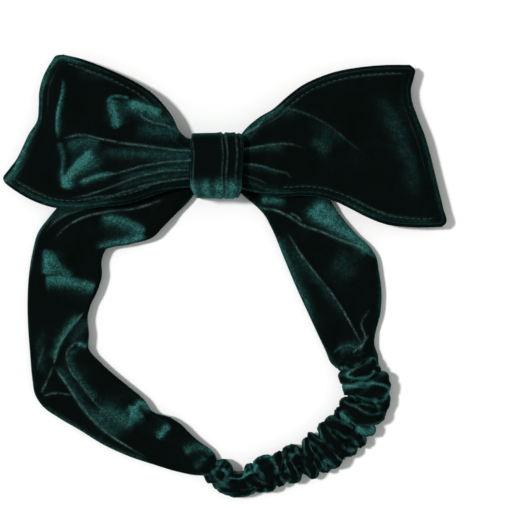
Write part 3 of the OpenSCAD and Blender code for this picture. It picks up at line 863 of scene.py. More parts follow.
LEFT_BAND = {
    "low": [(-9, -11), (-14.8, -19.2), (-21.3, -25.5), (-27.2, -31.7), (-33, -37.6), (-44.5, -41),
            (-57, -44),
            (-60, -49), (-59.9, -58), (-62.4, -66), (-66, -73), (-67, -79), (-66.2, -88), (-66.2, -96.5),
            (-60.5, -103.5), (-53.6, -109.7), (-45.2, -116), (-37.6, -122), (-33.2, -128), (-24, -131.2),
            (-18.7, -134.7), (-12.5, -140.9), (-8, -144.6), (-3.6, -147.6), (-0.6, -151.2), (0.4, -154.2)],
    "high": [(-9, 9), (-22, 6), (-42, -2), (-64, -10), (-79, -18), (-87.9, -27.6), (-93.2, -35), (-96, -45),
             (-97.7, -56), (-98.4, -70), (-98, -84), (-97, -97), (-96, -112), (-94.8, -119.4),
             (-91, -125.4),
             (-82.2, -131.6), (-71.2, -137.8), (-59, -145.5), (-46, -151.4), (-32, -155.8), (-20, -159.6),
             (-9.5, -161.6), (-4.5, -161.2), (-0.8, -158.8)],
}
LEFT_BAND_CREASES = [
    ([(-26, -17.5), (-42.7, -22.7), (-57.6, -24.4), (-69.6, -27.4), (-79.5, -33.2), (-85.4, -40)],
     1.5, 3.2, 0.8, 0.65, 0.15, 0.25),
    ([(-60, -21), (-72.6, -23.9), (-82.5, -28.2), (-90, -35.5)], 0.9, 1.6, 0.8, 0.4, 0.2, 0.3),
    ([(-68.4, -76), (-72.5, -81), (-76.5, -85.4), (-82, -94.3), (-84.9, -104.3)],
     1.9, 0.8, 3.4, 0.95, 0.12, 0.1),
    ([(-84.9, -104.3), (-78.5, -113.2), (-69.6, -126.6), (-59.6, -137.4), (-46.7, -146.6), (-34.8, -153.6)],
     1.6, 3.6, 0.9, 0.8, 0.08, 0.25),
    ([(-67.2, -94.8), (-72.6, -92.6), (-77.6, -97), (-76.8, -105), (-69.6, -115.2), (-62, -124.6),
      (-55, -131)], 1.4, 2.4, 1.0, 0.5, 0.1, 0.3),
    ([(-91.8, -119), (-87.7, -111.2), (-84.9, -104.5)], 1.3, 0.9, 2.4, 0.6, 0.15, 0.15),
    ([(-91, -120.6), (-83.5, -118.7), (-74.6, -119.9)], 0.9, 0.9, 1.8, 0.5, 0.15, 0.3),
    ([(-94, -107.5), (-90.6, -97.3), (-88, -91)], 0.6, 1.2, 1.2, 0.2, 0.3, 0.4),
    ([(-60, -27.7), (-48.7, -28.2), (-40.7, -32.2), (-35.8, -36)], 1.2, 3.6, 2.4, 0, 0.25, 0.25),
    ([(-88, -43), (-83.5, -51.6), (-78, -58), (-69.6, -61.6), (-62.2, -63.8)], 1.6, 3.0, 4.8, 0, 0.2, 0.2),
    ([(-64, -43.6), (-56, -41.8), (-46.7, -40.4), (-35, -37.6)], 0.9, 1.6, 1.6, 0.25, 0.2, 0.2),
    ([(-66, -47), (-72, -50), (-76, -46)], -1.4, 4, 4, 0, 0.3, 0.3),
    ([(-44, -128), (-38.8, -122.6), (-32.8, -129)], 1.3, 2.2, 2.6, 0, 0.25, 0.25),
    ([(-31.5, -143), (-26.8, -138.1), (-23.5, -134)], 1.3, 2.0, 2.6, 0, 0.3, 0.3),
    ([(-37, -136), (-32, -131), (-28, -130)], -1.2, 3, 3, 0, 0.3, 0.3),
    ([(-17, -152), (-12, -146), (-8, -144)], 1.0, 2.4, 2.4, 0, 0.3, 0.2),
]
# Painted highlight and painted shade patches on the left half of the band.
LEFT_BAND_PAINTED_SHEEN = [
    ([(-63, -27.4), (-54, -27.6), (-46, -29.6), (-40, -32.6), (-36.4, -35.4)], 0.85, (1.6, 4.2), 0.25, 0.1),
    ([(-65, -43.4), (-56, -41.8), (-46.7, -40.2), (-35, -37.2)], 0.8, (2.4, 0.9), 0.25, 0.15),
    ([(-89, -43), (-89.4, -50), (-89.4, -57)], 0.85, (4.4, 1.2), 0.15, 0.05),
    ([(-86, -46), (-81, -53), (-75, -58)], 0.55, (1.4, 3.6), 0.2, 0.1),
    ([(-90, -59.4), (-78.5, -59.8), (-69.6, -61.6), (-62.6, -63.6)], 0.95, (1.8, 3.4), 0.08, 0.06),
    ([(-70, -77.5), (-76, -84.5), (-81.4, -93), (-84.6, -102)], 0.72, (0.8, 2.4), 0.15, 0.1),
    ([(-66, -80), (-71, -86), (-76, -94)], 0.3, 2.6, 0.2, 0.2),
    ([(-84.6, -104), (-78, -113.4), (-69, -126.6), (-59, -137), (-48, -145)], 0.42, (3.2, 0.8), 0.1, 0.2),
    ([(-70.5, -94), (-76.8, -99), (-75, -106), (-68, -116), (-60, -125)], 0.46, (2.2, 1.0), 0.15, 0.2),
    ([(-67.4, -94.6), (-72.4, -92.8)], 0.9, 1.3, 0.15, 0.2),
    ([(-47, -124.6), (-43, -127), (-39.4, -123), (-36, -124.5), (-32.8, -129)], 1.0, (1.3, 2.4), 0.2, 0.2),
    ([(-46, -130), (-41, -131), (-38, -129)], 0.6, 2.6, 0.2, 0.2),
    ([(-31, -143), (-26.8, -138), (-23.5, -134.6)], 0.95, (2.2, 1.3), 0.2, 0.2),
    ([(-64, -125), (-56, -129), (-48, -133), (-42, -139)], 0.5, 4.6, 0.25, 0.25),
    ([(-18, -150), (-11, -146.5), (-5, -147.4), (-1.6, -151)], 0.62, 2.2, 0.15, 0.1),
    ([(-12, -158), (-8, -154), (-5.4, -151)], 0.35, 1.8, 0.2, 0.2),
    ([(-86, -27), (-92, -35), (-95.5, -46), (-97.5, -62)], 0.42, (0.7, 1.5), 0.1, 0.4),
    ([(-74, -21.5), (-82, -25.6), (-88, -31)], 0.3, 2.0, 0.2, 0.3),
    ([(-92, -124), (-75, -135), (-55, -147), (-30, -155.5)], 0.34, 1.1, 0.1, 0.2),
    ([(-91, -84), (-92, -100), (-90, -112)], 0.24, 2.6, 0.3, 0.3),
    ([(-30, -21), (-24, -27), (-22, -32)], -0.3, 4.0, 0.2, 0.2),
]
RIGHT_BAND = {
    "low": [(9, -11), (14.5, -16.5), (20, -21), (24.4, -25.5), (28.6, -33), (34.8, -48), (41, -62.8),
            (48.4, -79), (53, -89), (56.8, -97), (59.4, -103), (62.4, -106)],
    "high": [(9, 9), (24, 4), (42, -4), (56, -13), (65, -25.5), (73, -34.8), (79.4, -41.2), (83.2, -47.3),
             (84.9, -56), (86.1, -67), (85.4, -77), (82.6, -87.9), (82.4, -94), (84.2, -100),
             (84.2, -104.6)],
}
RIGHT_BAND_CREASES = [
    ([(18, -20), (23, -22.5), (29.7, -23.3), (36.9, -26.4), (44.1, -31), (55.4, -35.1), (66.7, -39.9),
      (75.9, -43.3), (83, -48.6)], 2.2, 8.5, 0.8, 0.8, 0.1, 0.06),
    ([(38, -25.2), (41, -26.2), (44.4, -29.8)], 0.9, 0.8, 1.4, 0.7, 0.2, 0.2),
    ([(36.4, -34), (43, -44.9), (52.3, -57.2), (60.5, -67.5), (67.7, -78.8), (73.9, -90.1), (76, -94)],
     1.5, 1.0, 4.0, 0.7, 0.15, 0.1),
    ([(80, -74.5), (75.4, -82.9), (77.4, -89.1), (74, -97)], 1.1, 1.2, 1.2, 0.65, 0.2, 0.1),
    ([(70, -98), (75, -94), (79.5, -88)], 0.9, 1.2, 1.2, 0.5, 0.2, 0.2),
    ([(60, -98), (66, -94), (74, -95)], 0.9, 1.2, 1.2, 0.4, 0.2, 0.2),
    ([(52, -40), (66, -54), (74, -70)], -1.3, 8, 8, 0, 0.3, 0.3),
    ([(32, -38), (42, -58), (54, -82)], 0.9, 4, 3, 0, 0.2, 0.3),
]
# Painted highlight patches on the right half of the band.
RIGHT_BAND_PAINTED_SHEEN = [
    ([(44, -22), (54.3, -28), (64, -33.5), (73, -39), (81, -46)], 0.95, (6.4, 3.0), 0.2, 0.1),
    ([(50, -20), (58, -23), (65, -28)], 0.4, 3.0, 0.2, 0.3),
    ([(22, -18.6), (29.7, -18.6), (37, -20)], 0.8, 1.8, 0.2, 0.3),
    ([(58, -48), (66.7, -54), (72, -62)], 0.3, 6, 0.35, 0.35),
    ([(30, -34), (37, -50), (46, -70), (54, -88)], 0.36, (3.0, 1.4), 0.15, 0.3),
    ([(38, -38), (46, -50), (58, -66), (70, -84)], 0.26, (0.6, 3.0), 0.2, 0.3),
    ([(62, -97), (70, -94), (78, -95)], 0.4, 3, 0.2, 0.2),
    ([(84.6, -52), (86, -66), (84, -80)], 0.3, 1.4, 0.2, 0.3),
    ([(80, -41), (84, -48)], 0.5, 2.0, 0.2, 0.2),
]


def band_half(name, edges, creases, patches, seed, lift):
    """One half of the flat tube band. With d the distance from its edges, its front is at base +
    thickness * sqrt(1 - (1 - d / roll)^2), and its underside rolls down to the table within a few
    millimetres. Its edge on the loop's inner side stands higher by lift. Small gathers run back from the
    end that meets the casing."""
    band = sizes("band")
    bow = sizes("bow")
    low, high = edges["low"], edges["high"]
    reach = max(length_of(low), length_of(high))
    widest = 46
    u, v = eased(int(reach / bow.spacing), 0.25), eased(int(widest / bow.spacing * 1.1), 0.6)
    xy = patch(low, high, [low[0], high[0]], [low[-1], high[-1]], u, v)
    d = distance(xy, np.concatenate([even(low, 260), even(high, 260)[::-1]]))[0]
    d[:, 0] = d[:, -1] = d[-1] = 0
    lifted = smooth((u - 0.07) / 0.06) * smooth((1 - u) / 0.08)
    side_z = 3.4 + lift * lifted[:, None] * (1 - v)[None, :] ** 1.5
    rise, wear_and_highlight = creased(xy, creases)
    held = smooth(d / 3.0)
    full = np.maximum(band.thickness - side_z - 0.5, 2.0)
    top = side_z + 1.6 * dome(d, 2.4) + (full - 1.6) * dome(d, band.edge_roll) + held * rise * 0.9
    top = top + 0.35 * held * ripple(xy, 14, seed, 6)
    to_end = (1 - u)[:, None] * reach
    swell = np.exp(-(((to_end - 5) / 8) ** 2))
    gathers = np.sin(v * 31 + 2.2 * np.sin(v * 9 + seed))[None, :] * np.exp(-to_end / 7)
    top = top + swell * 1.6 * smooth(d / 6) + 0.55 * gathers * held
    below = side_z * (1 - dome(d, 3.0)) + TABLE_GAP
    # Painted highlight and painted shade patches, and a painted highlight on the gathers' ridges.
    painted_light = (painted_sheen(xy, patches) + 0.22 * np.clip(gathers, 0, 1)) * smooth((d + 1) / 2)
    upper = np.dstack([xy, np.maximum(top, side_z)])
    lower = np.dstack([xy, below])
    for column in (0, -1):
        upper[:, column, 2] = lower[:, column, 2] = side_z[:, column]
    still = (np.hypot(xy[..., 0], xy[..., 1]) < 22) | (to_end < 4)
    upper, lower = padded_out(upper, lower, still, PRESSURE, 0.9)
    lower[..., 2] = np.maximum(lower[..., 2], TABLE_GAP)
    uv = np.dstack(np.broadcast_arrays(u[:, None] * reach, v[None, :] * widest))
    return pillow(name, upper, lower, painted_light, wear_and_highlight * held, uv)


def sew_band(side, edges, creases, patches, seed, lift):
    """Half of the band on the frame, with the thread that holds the elastic's end in it."""
    piece = band_half(f"{side}_band", edges, creases, patches, seed, lift)
    velvet_piece(piece)
    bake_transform(piece)
    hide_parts(f"{side}_band_tube", f"{side}_band_interlining")
    # The elastic's end is sewn across inside the band.
    route = np.array(CASING_ROUTE[:2] if side == "left" else CASING_ROUTE[-1:-3:-1], float)
    run = (route[0] - route[1]) / np.linalg.norm(route[0] - route[1])
    over = np.array([-run[1], run[0]])
    rows = [route[0] + run * 3 + over * k * 2 for k in range(-2, 3)]
    half, height = run * 1.4, 4.9
    starts = [(*(row - half), height) for row in rows]
    ends = [(*(row + half), height) for row in rows]
    join = sewn(f"{side}_join_thread", starts, ends, 0.25)
    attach(join, f"{side}_band")
    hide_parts(f"{side}_join_stitches")


# ---- The gathered casing ------------------------------------------------------------------------

CASING_ROUTE = [(-6.5, -155.4), (-2.5, -158.4), (3.2, -162), (10.4, -164.6), (18.4, -163.2), (27, -159.6),
                (38, -156.6), (49, -152), (59.4, -145.4), (69, -137), (75.8, -128), (78.6, -119),
                (75.8, -110.4), (72.6, -104), (70.4, -98.4), (69.8, -95)]
ROUTE_STEPS = 600
# How wide and how high the casing is along its length, as shares of its full size.
CASING_WIDTH = [(0, 0.42), (0.03, 0.50), (0.055, 0.70), (0.10, 0.72), (0.16, 0.70), (0.24, 0.76),
                (0.36, 0.84), (0.5, 0.97), (0.62, 1.04), (0.74, 1.02), (0.88, 0.98), (0.94, 0.95),
                (1, 0.86)]
CASING_HEIGHT = [(0, 0.26), (0.03, 0.40), (0.055, 0.78), (0.08, 0.98), (0.92, 1.0), (0.955, 0.82),
                 (1, 0.40)]
# Each fold: where it crosses the casing's inner and outer edge as shares of its length, its half
# thickness in mm, how far it swells out, how far its middle is bowed along the casing in mm, and 1 if it
# is only on the outer edge, -1 if it is only on the inner edge, 0 if it is on both.
FOLDS = [
    (0.015, 0.02, 3.8, 0.82, 0.0, 0), (0.076, 0.040, 4.4, 1.00, 1.0, 0), (0.150, 0.140, 10.0, 1.06, 2.0, 1),
    (0.208, 0.230, 3.0, 0.97, -1.0, 0), (0.275, 0.262, 4.8, 1.10, 0.8, 0),
    (0.333, 0.318, 3.6, 0.92, -1.6, 0),
    (0.372, 0.360, 3.0, 1.00, 1.2, 0), (0.400, 0.415, 4.6, 0.98, -1.5, -1),
    (0.432, 0.440, 2.6, 1.03, 1.2, 1),
    (0.470, 0.478, 2.8, 0.97, -0.8, 0), (0.500, 0.522, 2.8, 1.06, 1.4, 0),
    (0.538, 0.556, 2.6, 0.94, 0.5, 1),
    (0.566, 0.590, 3.4, 1.04, -1.6, 0), (0.602, 0.640, 5.6, 1.08, 1.8, -1),
    (0.640, 0.648, 2.6, 0.94, -1.0, 1),
    (0.672, 0.690, 3.0, 1.00, 1.8, 0), (0.716, 0.742, 4.6, 1.09, -1.8, 0),
    (0.762, 0.752, 2.4, 0.93, -1.2, 1),
    (0.795, 0.786, 3.6, 0.99, 2.4, 0), (0.842, 0.836, 4.6, 1.16, -2.4, 0),
    (0.884, 0.872, 2.6, 0.95, 1.4, 1),
    (0.905, 0.915, 3.8, 1.02, -2.4, 0), (0.950, 0.955, 3.4, 0.90, 1.0, 0), (0.99, 0.985, 3.4, 0.82, 0.0, 0),
]
# Painted highlight patches on the casing.
CASING_PAINTED_SHEEN = [
    ([(2.5, -156.5), (6.5, -159.6), (13, -160.8), (18.5, -158.4), (21.5, -154)], 1.3, (1.6, 0.7), 0.1, 0.1),
    ([(71, -136), (77, -137.6), (83, -136.6)], 1.1, 1.8, 0.2, 0.2),
    ([(64, -128.4), (66.4, -131), (69, -134)], 1.1, 1.6, 0.2, 0.2),
    ([(66, -115.8), (74, -113.4), (83, -114), (88.4, -117.2), (87, -121.4), (79, -122.2)],
     0.9, 0.8, 0.1, 0.1),
    ([(55, -154.5), (59, -158)], 1.0, 2.0, 0.3, 0.3),
    ([(36, -149), (41, -151.6)], 0.8, 1.8, 0.3, 0.3),
    ([(24, -150.5), (29, -150)], 0.7, 1.2, 0.3, 0.3),
    ([(62, -104.5), (66, -108), (72, -110.5), (78, -110.6), (81.6, -106)], 0.9, 0.8, 0.1, 0.1),
    ([(-4, -156), (-1.5, -161), (3, -165.6), (10, -169.4)], 0.5, 1.0, 0.2, 0.3),
]


def route_at(s):
    """Where the casing's route is at each share of its length, and the direction that it runs in there."""
    middle = even(CASING_ROUTE, ROUTE_STEPS)
    at = np.linspace(0, 1, ROUTE_STEPS)
    heading = np.gradient(middle, at, axis=0)
    heading /= np.linalg.norm(heading, axis=1, keepdims=True)
    return [np.interp(s, at, line) for line in (*middle.T, *heading.T)]


def casing_surface(s, around):
    """The gathered casing as a function of its share along the route and of the angle round it. Each fold
    is a disc on edge: it swells by depth * (sqrt(1 - (x / thickness)^2) - 1) with the distance x from its
    own leaning, bowed line, and the surface is the highest fold at each point, so the discs overlap with
    sharp valleys."""
    casing = sizes("casing")
    middle_half = 11
    total = length_of(CASING_ROUTE)
    x, y, hx, hy = route_at(s)
    across, upward = np.cos(around), np.sin(around)
    swell = np.full(s.shape, -9.0)
    painted_light, wear_and_highlight = np.zeros(s.shape), np.zeros(s.shape)
    for k, (inner, outer, half, size, bow, side) in enumerate(FOLDS):
        lean = 0.5 * (inner + outer) + 0.5 * (inner - outer) * across
        waver = 0.75 * np.sin(2 * around + 1.9 * k) + 0.45 * np.sin(5 * around + 2.3 * k)
        off = (s - lean) * total + waver - bow * (1 - across**2) * np.sign(upward)
        thick = half * (1 + 0.16 * np.sin(around + 1.7 * k) + 0.10 * np.sin(3 * around + k))
        disc = np.sqrt(np.clip(1 - (off / thick) ** 2, 0, 1))
        lobe = casing.fold_depth * (disc - 1) * min(half / 3.4, 1.3) + (size - 1) * 7.5
        lobe = lobe + 0.5 * np.sin(3 * around + 1.3 * k)
        lobe = np.where(np.abs(off) > thick, lobe - 1.3 * (np.abs(off) / thick - 1) * half, lobe)
        if side:
            lobe = lobe - 5.5 * smooth((0.35 + side * across) / 0.9)
        nearer = lobe > swell
        swell = np.maximum(swell, lobe)
        slope = np.clip(off / thick, -1, 1)
        # Painted highlight: a lit rim on each fold's flanks, brighter on some folds than others, and a pale
        # painted highlight line near one flank.
        lit = 0.35 + 0.65 * np.sin(1.7 * k + 1 + 2.2 * around) ** 2
        rim = np.exp(-(((np.abs(slope) - 0.72) / 0.22) ** 2)) * lit + 0.10
        line = np.exp(-(((slope - 0.80) / 0.10) ** 2)) * np.clip(np.sin(2.6 * k + 3 * around), 0, 1)
        # Where a fold lies on top, its painted light is the lit rim less a little painted shade.
        painted_light = np.where(nearer, 0.62 * rim - 0.16, painted_light)
        wear_and_highlight = np.where(nearer, 0.8 * line, wear_and_highlight)
    crimp = 0.5 + 0.5 * np.sin(7 * around + s * 40)
    fine = 0.20 * np.sin(s * total * 2.4 + 3 * np.sin(2 * around)) * crimp
    flat = np.dstack([x - hy * across * middle_half, y + hx * across * middle_half])
    swell = (swell + fine + 0.30 * ripple(flat, 6.5, 77, 8)) * (0.25 + 0.75 * smooth((s - 0.02) / 0.03))
    # Painted highlight patches, and a random tone.
    painted_light = painted_light + painted_sheen(flat, CASING_PAINTED_SHEEN) + 0.22 * ripple(flat, 4.5, 78, 8)
    wide = np.interp(s, *np.array(CASING_WIDTH).T)
    high = np.interp(s, *np.array(CASING_HEIGHT).T)
    half_w = (casing.width / 2 - 0.2) * wide + swell * (0.5 + 0.5 * wide)
    half_h = (casing.height / 2 + 0.1) * high + 0.9 * swell * high
    side = np.sign(across) * np.abs(across) ** 0.85
    lift = np.sign(upward) * np.abs(upward) ** 0.85
    z = casing.height / 2 * high + half_h * lift
    z = np.where(z < 0.4, 0.4 * np.exp(np.minimum(z, 0.4) / 0.4 - 1), z)
    points = np.dstack([x - hy * side * half_w, y + hx * side * half_w, np.maximum(z, TABLE_GAP)])
    # The painted light and the crease lines are kept to the upper side, seen from above.
    seen = np.clip(lift + 0.35, 0, 1)
    return points, painted_light * seen, wear_and_highlight * seen, total


def casing_padding(shares, angles):
    """How far the casing's cloth moves when it is blown up a little, on a grid of shares and angles."""
    s, around = np.meshgrid(shares, angles, indexing="ij")
    points = casing_surface(s, around)[0]
    hubs = [points[0, :-1].mean(axis=0), points[-1, :-1].mean(axis=0)]
    flat = np.concatenate([points.reshape(-1, 3), hubs])
    sewn_in = 0.04
    still = np.append(((s < sewn_in) | (s > 1 - sewn_in)).ravel(), [True, True])
    move = blown_up(flat, tube_faces(*s.shape), still, PRESSURE, 0.8)[:-2].reshape(points.shape)
    move[:, -1] = move[:, 0]
    return move


def elastic_strip(k, first, last):
    """A length of the flat elastic inside the casing: a strip whose section is w * |cos|^0.4 by t *
    |sin|^0.4, carried along the route at its own height."""
    half_w, half_t, height = 5.2, 0.6, 4.6
    s, turn = np.linspace(first, last, 14)[:, None], np.linspace(0, 2 * math.pi, 25)
    x, y, hx, hy = route_at(s)
    over = half_w * np.sign(np.cos(turn)) * np.abs(np.cos(turn)) ** 0.4
    up = half_t * np.sign(np.sin(turn)) * np.abs(np.sin(turn)) ** 0.4
    points = np.dstack(np.broadcast_arrays(x - hy * over, y + hx * over, height + up))
    uv = np.dstack(np.broadcast_arrays(s * length_of(CASING_ROUTE), over))
    piece = tube(f"elastic_{k + 1}_tape", points, {}, uv)
    return finish(piece, "elastic", elastic_finish)


def casing_pieces():
    """The casing, cut at the middle of each body that carries it. Each piece is closed at both cuts."""
    bodies = [f"casing_{k}" for k in range(1, 7)]
    route = even(CASING_ROUTE, ROUTE_STEPS)
    shares, angles = np.linspace(0, 1, 89), np.linspace(0, 2 * math.pi, 33)
    moves = casing_padding(shares, angles)
    lead = 2.4 / length_of(CASING_ROUTE)
    centres = [lead + (1 - 2 * lead) * (k + 0.5) / len(bodies) for k in range(len(bodies))]
    cuts = [0.0, *centres, 1.0]
    owners = ["left_band", *bodies]
    for k, (first, last) in enumerate(zip(cuts, cuts[1:])):
        rows = max(8, int((last - first) * length_of(CASING_ROUTE) / 0.42))
        s, around = np.meshgrid(np.linspace(first, last, rows), np.linspace(0, 2 * math.pi, 121),
                                indexing="ij")
        points, painted_light, wear_and_highlight, total = casing_surface(s, around)
        points = points + spread(moves, shares, angles, s[:, 0], around[0])
        points[..., 2] = np.maximum(points[..., 2], TABLE_GAP)
        piece = tube(f"casing_{k + 1}_velvet", points, {"painted_light": painted_light, "wear_and_highlight": wear_and_highlight},
                     np.dstack([s * total, around / (2 * math.pi) * 60]))
        velvet_piece(piece)
        # The ends of the piece's middle half, which nothing reads.
        inset = 0.25 * (last - first)
        start, end = (route[int(share * (ROUTE_STEPS - 1))] * MM for share in (first + inset, last - inset))
        strip = elastic_strip(k, first, last)
        for cloth in (piece, strip):
            if k < len(bodies):
                owners[k + 1]
                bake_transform(cloth)
            else:
                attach(cloth, owners[k])
        if k:
            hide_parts(f"casing_gather_{2 * k - 1}", f"casing_gather_{2 * k}")
        inside = [f"elastic_{2 * k - 1}", f"elastic_{2 * k}"] if k else ["left_elastic_tail"]
        if k == len(bodies):
            inside.append("right_elastic_tail")
        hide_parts(*inside)


# ---- The knot -----------------------------------------------------------------------------------

KNOT_CREASES = [
    # Each runs round the wrap: where it lies across the strip in mm, its height, its width on each side,
    # its pale line, partly wear and partly painted highlight.
    (-12.2, 0.5, 0.7, 0.7, 0.35), (3.2, 0.55, 1.6, 0.5, 0.30), (4.6, -0.75, 0.6, 0.6, 0.0),
    (5.4, 0.45, 0.5, 2.2, 0.30), (10.6, 0.6, 1.8, 0.5, 0.32), (11.6, -0.5, 0.5, 0.5, 0.0),
    (13.2, 0.3, 0.8, 0.8, 0.25),
]


def wrap_ring(count, low_y, high_y, top):
    """A rounded rectangle in the YZ plane, from the middle of its underside, as points and outward
    directions, and the length of the way round."""
    corner, foot = 6.5, 2.8
    path = [(0.5 * (low_y + high_y), 0), (high_y - foot, 0)]
    corners = ((high_y - foot, foot, foot, -90), (high_y - corner, top - corner, corner, 0),
               (low_y + corner, top - corner, corner, 90), (low_y + foot, foot, foot, 180))
    for cy, cz, r, start in corners:
        angles = np.radians(start + np.linspace(0, 90, 14))
        path += list(zip(cy + r * np.cos(angles), cz + r * np.sin(angles)))
    path.append(path[0])
    path = np.array(path)
    far = np.concatenate([[0], np.cumsum(np.linalg.norm(np.diff(path, axis=0), axis=1))])
    at = np.linspace(0, far[-1], count)
    ring = np.stack([np.interp(at, far, path[:, k]) for k in (0, 1)], axis=1)
    step = np.gradient(ring, axis=0)
    step[0] = step[-1] = ring[1] - ring[-2]
    step /= np.linalg.norm(step, axis=1, keepdims=True)
    return ring, np.stack([step[:, 1], -step[:, 0]], axis=1), far[-1]


def knot_wrap():
    """The knot wrap: a strip carried round a rounded rectangle. Its outer face stands off by a rolled
    edge, a shallow crown and its own creases, which waver as they go round."""
    low_x, high_x = -13.3, 13.9
    u, v = np.linspace(0, 1, 240), eased(96, 0.5)
    ring, outward, round_length = wrap_ring(len(u), -16.2, 14.9, float(WRAP_HIGH[2]) - 0.6)
    x = low_x + (high_x - low_x) * v
    angle = 2 * math.pi * u
    # The strip is drawn in a little over the front and spreads at its back.
    neck = 1 - 0.035 * np.exp(-(((u - 0.56) / 0.12) ** 2))
    # At its lower side it is drawn together, which rounds the corners.
    drawn = 1 - 0.17 * smooth((-11.2 - ring[:, 0]) / 5.5) ** 1.5 - 0.05 * smooth((ring[:, 0] - 11) / 4)
    middle = 0.5 * (low_x + high_x)
    wide = middle + (x[None, :] - middle) * (neck * drawn)[:, None] + 0.3 * np.sin(3 * angle)[:, None]
    edge = np.minimum(x - low_x, high_x - x)[None, :] * np.ones((len(u), 1))
    drift = (0.45 * np.sin(2 * angle + 0.7) + 0.25 * np.sin(5 * angle))[:, None]
    height, wear_and_highlight = np.zeros_like(edge), np.zeros_like(edge)
    seen = smooth(ring[:, 1] / 4)[:, None]
    for place, rise, left, right, mark in KNOT_CREASES:
        d = x[None, :] - place - drift
        width = np.where(d < 0, left, right)
        height += rise * np.exp(-((np.abs(d) / width) ** 1.4))
        wear_and_highlight += mark * np.exp(-((d / 0.45) ** 2))
    hem = smooth(edge / 2.0)
    out = 0.85 * dome(edge, 1.6) + 0.35 * (1 - (x / 14) ** 2)[None, :] * hem + height * hem * seen * 0.9
    into = -0.85 * dome(edge, 1.6)
    out[:, 0] = out[:, -1] = into[:, 0] = into[:, -1] = 0

    def place_at(stand):
        y = ring[:, 0][:, None] + outward[:, 0][:, None] * stand
        z = ring[:, 1][:, None] + outward[:, 1][:, None] * stand
        return np.dstack([wide, y, np.maximum(z + 0.9, TABLE_GAP)])

    # Painted highlight on the lower front of the wrap, and painted shade on its top round the middle.
    painted_low_front_highlight = np.exp(-(((ring[:, 0] + 12.5) / 4.2) ** 2)) * smooth((ring[:, 1] - 9) / 8)
    painted_light = (0.95 * painted_low_front_highlight)[:, None] * (0.75 + 0.25 * np.sin(x * 0.9))[None, :] * np.ones_like(edge)
    painted_light = painted_light + 0.05 * seen - 0.25 * (np.exp(-(((ring[:, 0] - 4) / 8) ** 2)) * seen[:, 0])[:, None]
    uv = np.dstack(np.broadcast_arrays(u[:, None] * round_length, x[None, :]))
    outer, inner = padded_out(place_at(out), place_at(into), edge < 3, PRESSURE / 2, 0.4, ring=True)
    for side in (outer, inner):
        side[..., 2] = np.maximum(side[..., 2], TABLE_GAP)
    piece = velvet_piece(pillow("knot_wrap_velvet", outer, inner, painted_light, wear_and_highlight * hem * seen, uv, ring=True))
    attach(piece, "knot")
    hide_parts("knot_wrap")


def knot_inside():
    """What the wrap holds: the fluted bundle of the bow's middle, the thread wound round it, the flat
    middle of the band under it, and the ladder of stitches that closes the wrap underneath."""
    x, turn = np.linspace(-14, 14, 30), np.linspace(0, 2 * math.pi, 181)
    bundle_z = 15
    waist = 1 - 0.12 * np.exp(-((x / 5) ** 2))
    flute = 1 + 0.05 * np.sin(17 * turn) + 0.02 * np.sin(6 * turn)
    y = 10.6 * waist[:, None] * (np.cos(turn) * flute)[None]
    z = bundle_z + 6.0 * waist[:, None] * (np.sin(turn) * flute)[None]
    points = np.dstack([np.broadcast_to(x[:, None], y.shape), y, z])
    uv = np.dstack(np.broadcast_arrays(x[:, None], turn[None] * 9))
    blank = np.zeros(y.shape)
    bundle = velvet_piece(tube("bow_bundle", points, {"painted_light": blank, "wear_and_highlight": blank}, uv))
    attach(bundle, "knot")
    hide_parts("bow_pleats")
    turns, coil_half, thread_radius = 12, 4, 0.36
    wound = np.linspace(0, turns * 2 * math.pi, 600)
    spine = np.stack([coil_half * (2 * wound / wound[-1] - 1), 9.9 * np.cos(wound),
                      bundle_z + 5.7 * np.sin(wound)], axis=1)
    ring = np.linspace(0, 2 * math.pi, 9)
    out = np.stack([0 * wound, np.cos(wound), np.sin(wound)], axis=1)
    section = np.cos(ring)[:, None] * out[:, None] + np.sin(ring)[:, None] * np.array([1.0, 0, 0])
    thread = spine[:, None] + thread_radius * section
    coil = finish(tube("gathering_coil", thread, {}, thread[..., :2]), "thread", thread_finish)
    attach(coil, "knot")
    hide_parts("gathering_thread")
    half_x, half_y, middle_z = 14, 10.8, 4.6
    x, y = np.meshgrid(np.linspace(-half_x, half_x, 40), np.linspace(-half_y, half_y, 32), indexing="ij")
    rim = np.minimum(half_y - np.abs(y), half_x - np.abs(x))
    top = np.dstack([x, y, middle_z + 2.4 * dome(rim, 4)])
    bottom = np.dstack([x, y, middle_z - 2.2 * dome(rim, 4)])
    blank = np.zeros(x.shape)
    centre = velvet_piece(pillow("band_middle", top, bottom, blank, blank, np.dstack([x, y])))
    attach(centre, "knot")
    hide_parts("band_centre")
    rungs = np.arange(-11, 11.1, 2.2)
    ladder = sewn("knot_ladder", [(rung, -2.2, 0.9) for rung in rungs],
                  [(rung + 0.5, 2.0, 0.9) for rung in rungs], 0.3, (0, 0, -1))
    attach(ladder, "knot")
    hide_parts("knot_closing_stitches")


# ---- Operators ----------------------------------------------------------------------------------


class HEADBAND_OT_left_wing(bpy.types.Operator):
    """Sew the left wing of the bow"""

    bl_idname = "headband.left_wing"
    bl_label = "Left wing"

    def execute(self, context):
        sew_wing("left", LEFT_EDGES, LEFT_CREASES, LEFT_PAINTED_SHEEN, 3)
        return {"FINISHED"}


class HEADBAND_OT_right_wing(bpy.types.Operator):
    """Sew the right wing of the bow"""

    bl_idname = "headband.right_wing"
    bl_label = "Right wing"

    def execute(self, context):
        sew_wing("right", RIGHT_EDGES, RIGHT_CREASES, RIGHT_PAINTED_SHEEN, 8)
        return {"FINISHED"}


class HEADBAND_OT_knot(bpy.types.Operator):
    """Wrap the knot round the middle of the bow"""

    bl_idname = "headband.knot"
    bl_label = "Knot wrap"

    def execute(self, context):
        knot_wrap()
        knot_inside()
        return {"FINISHED"}


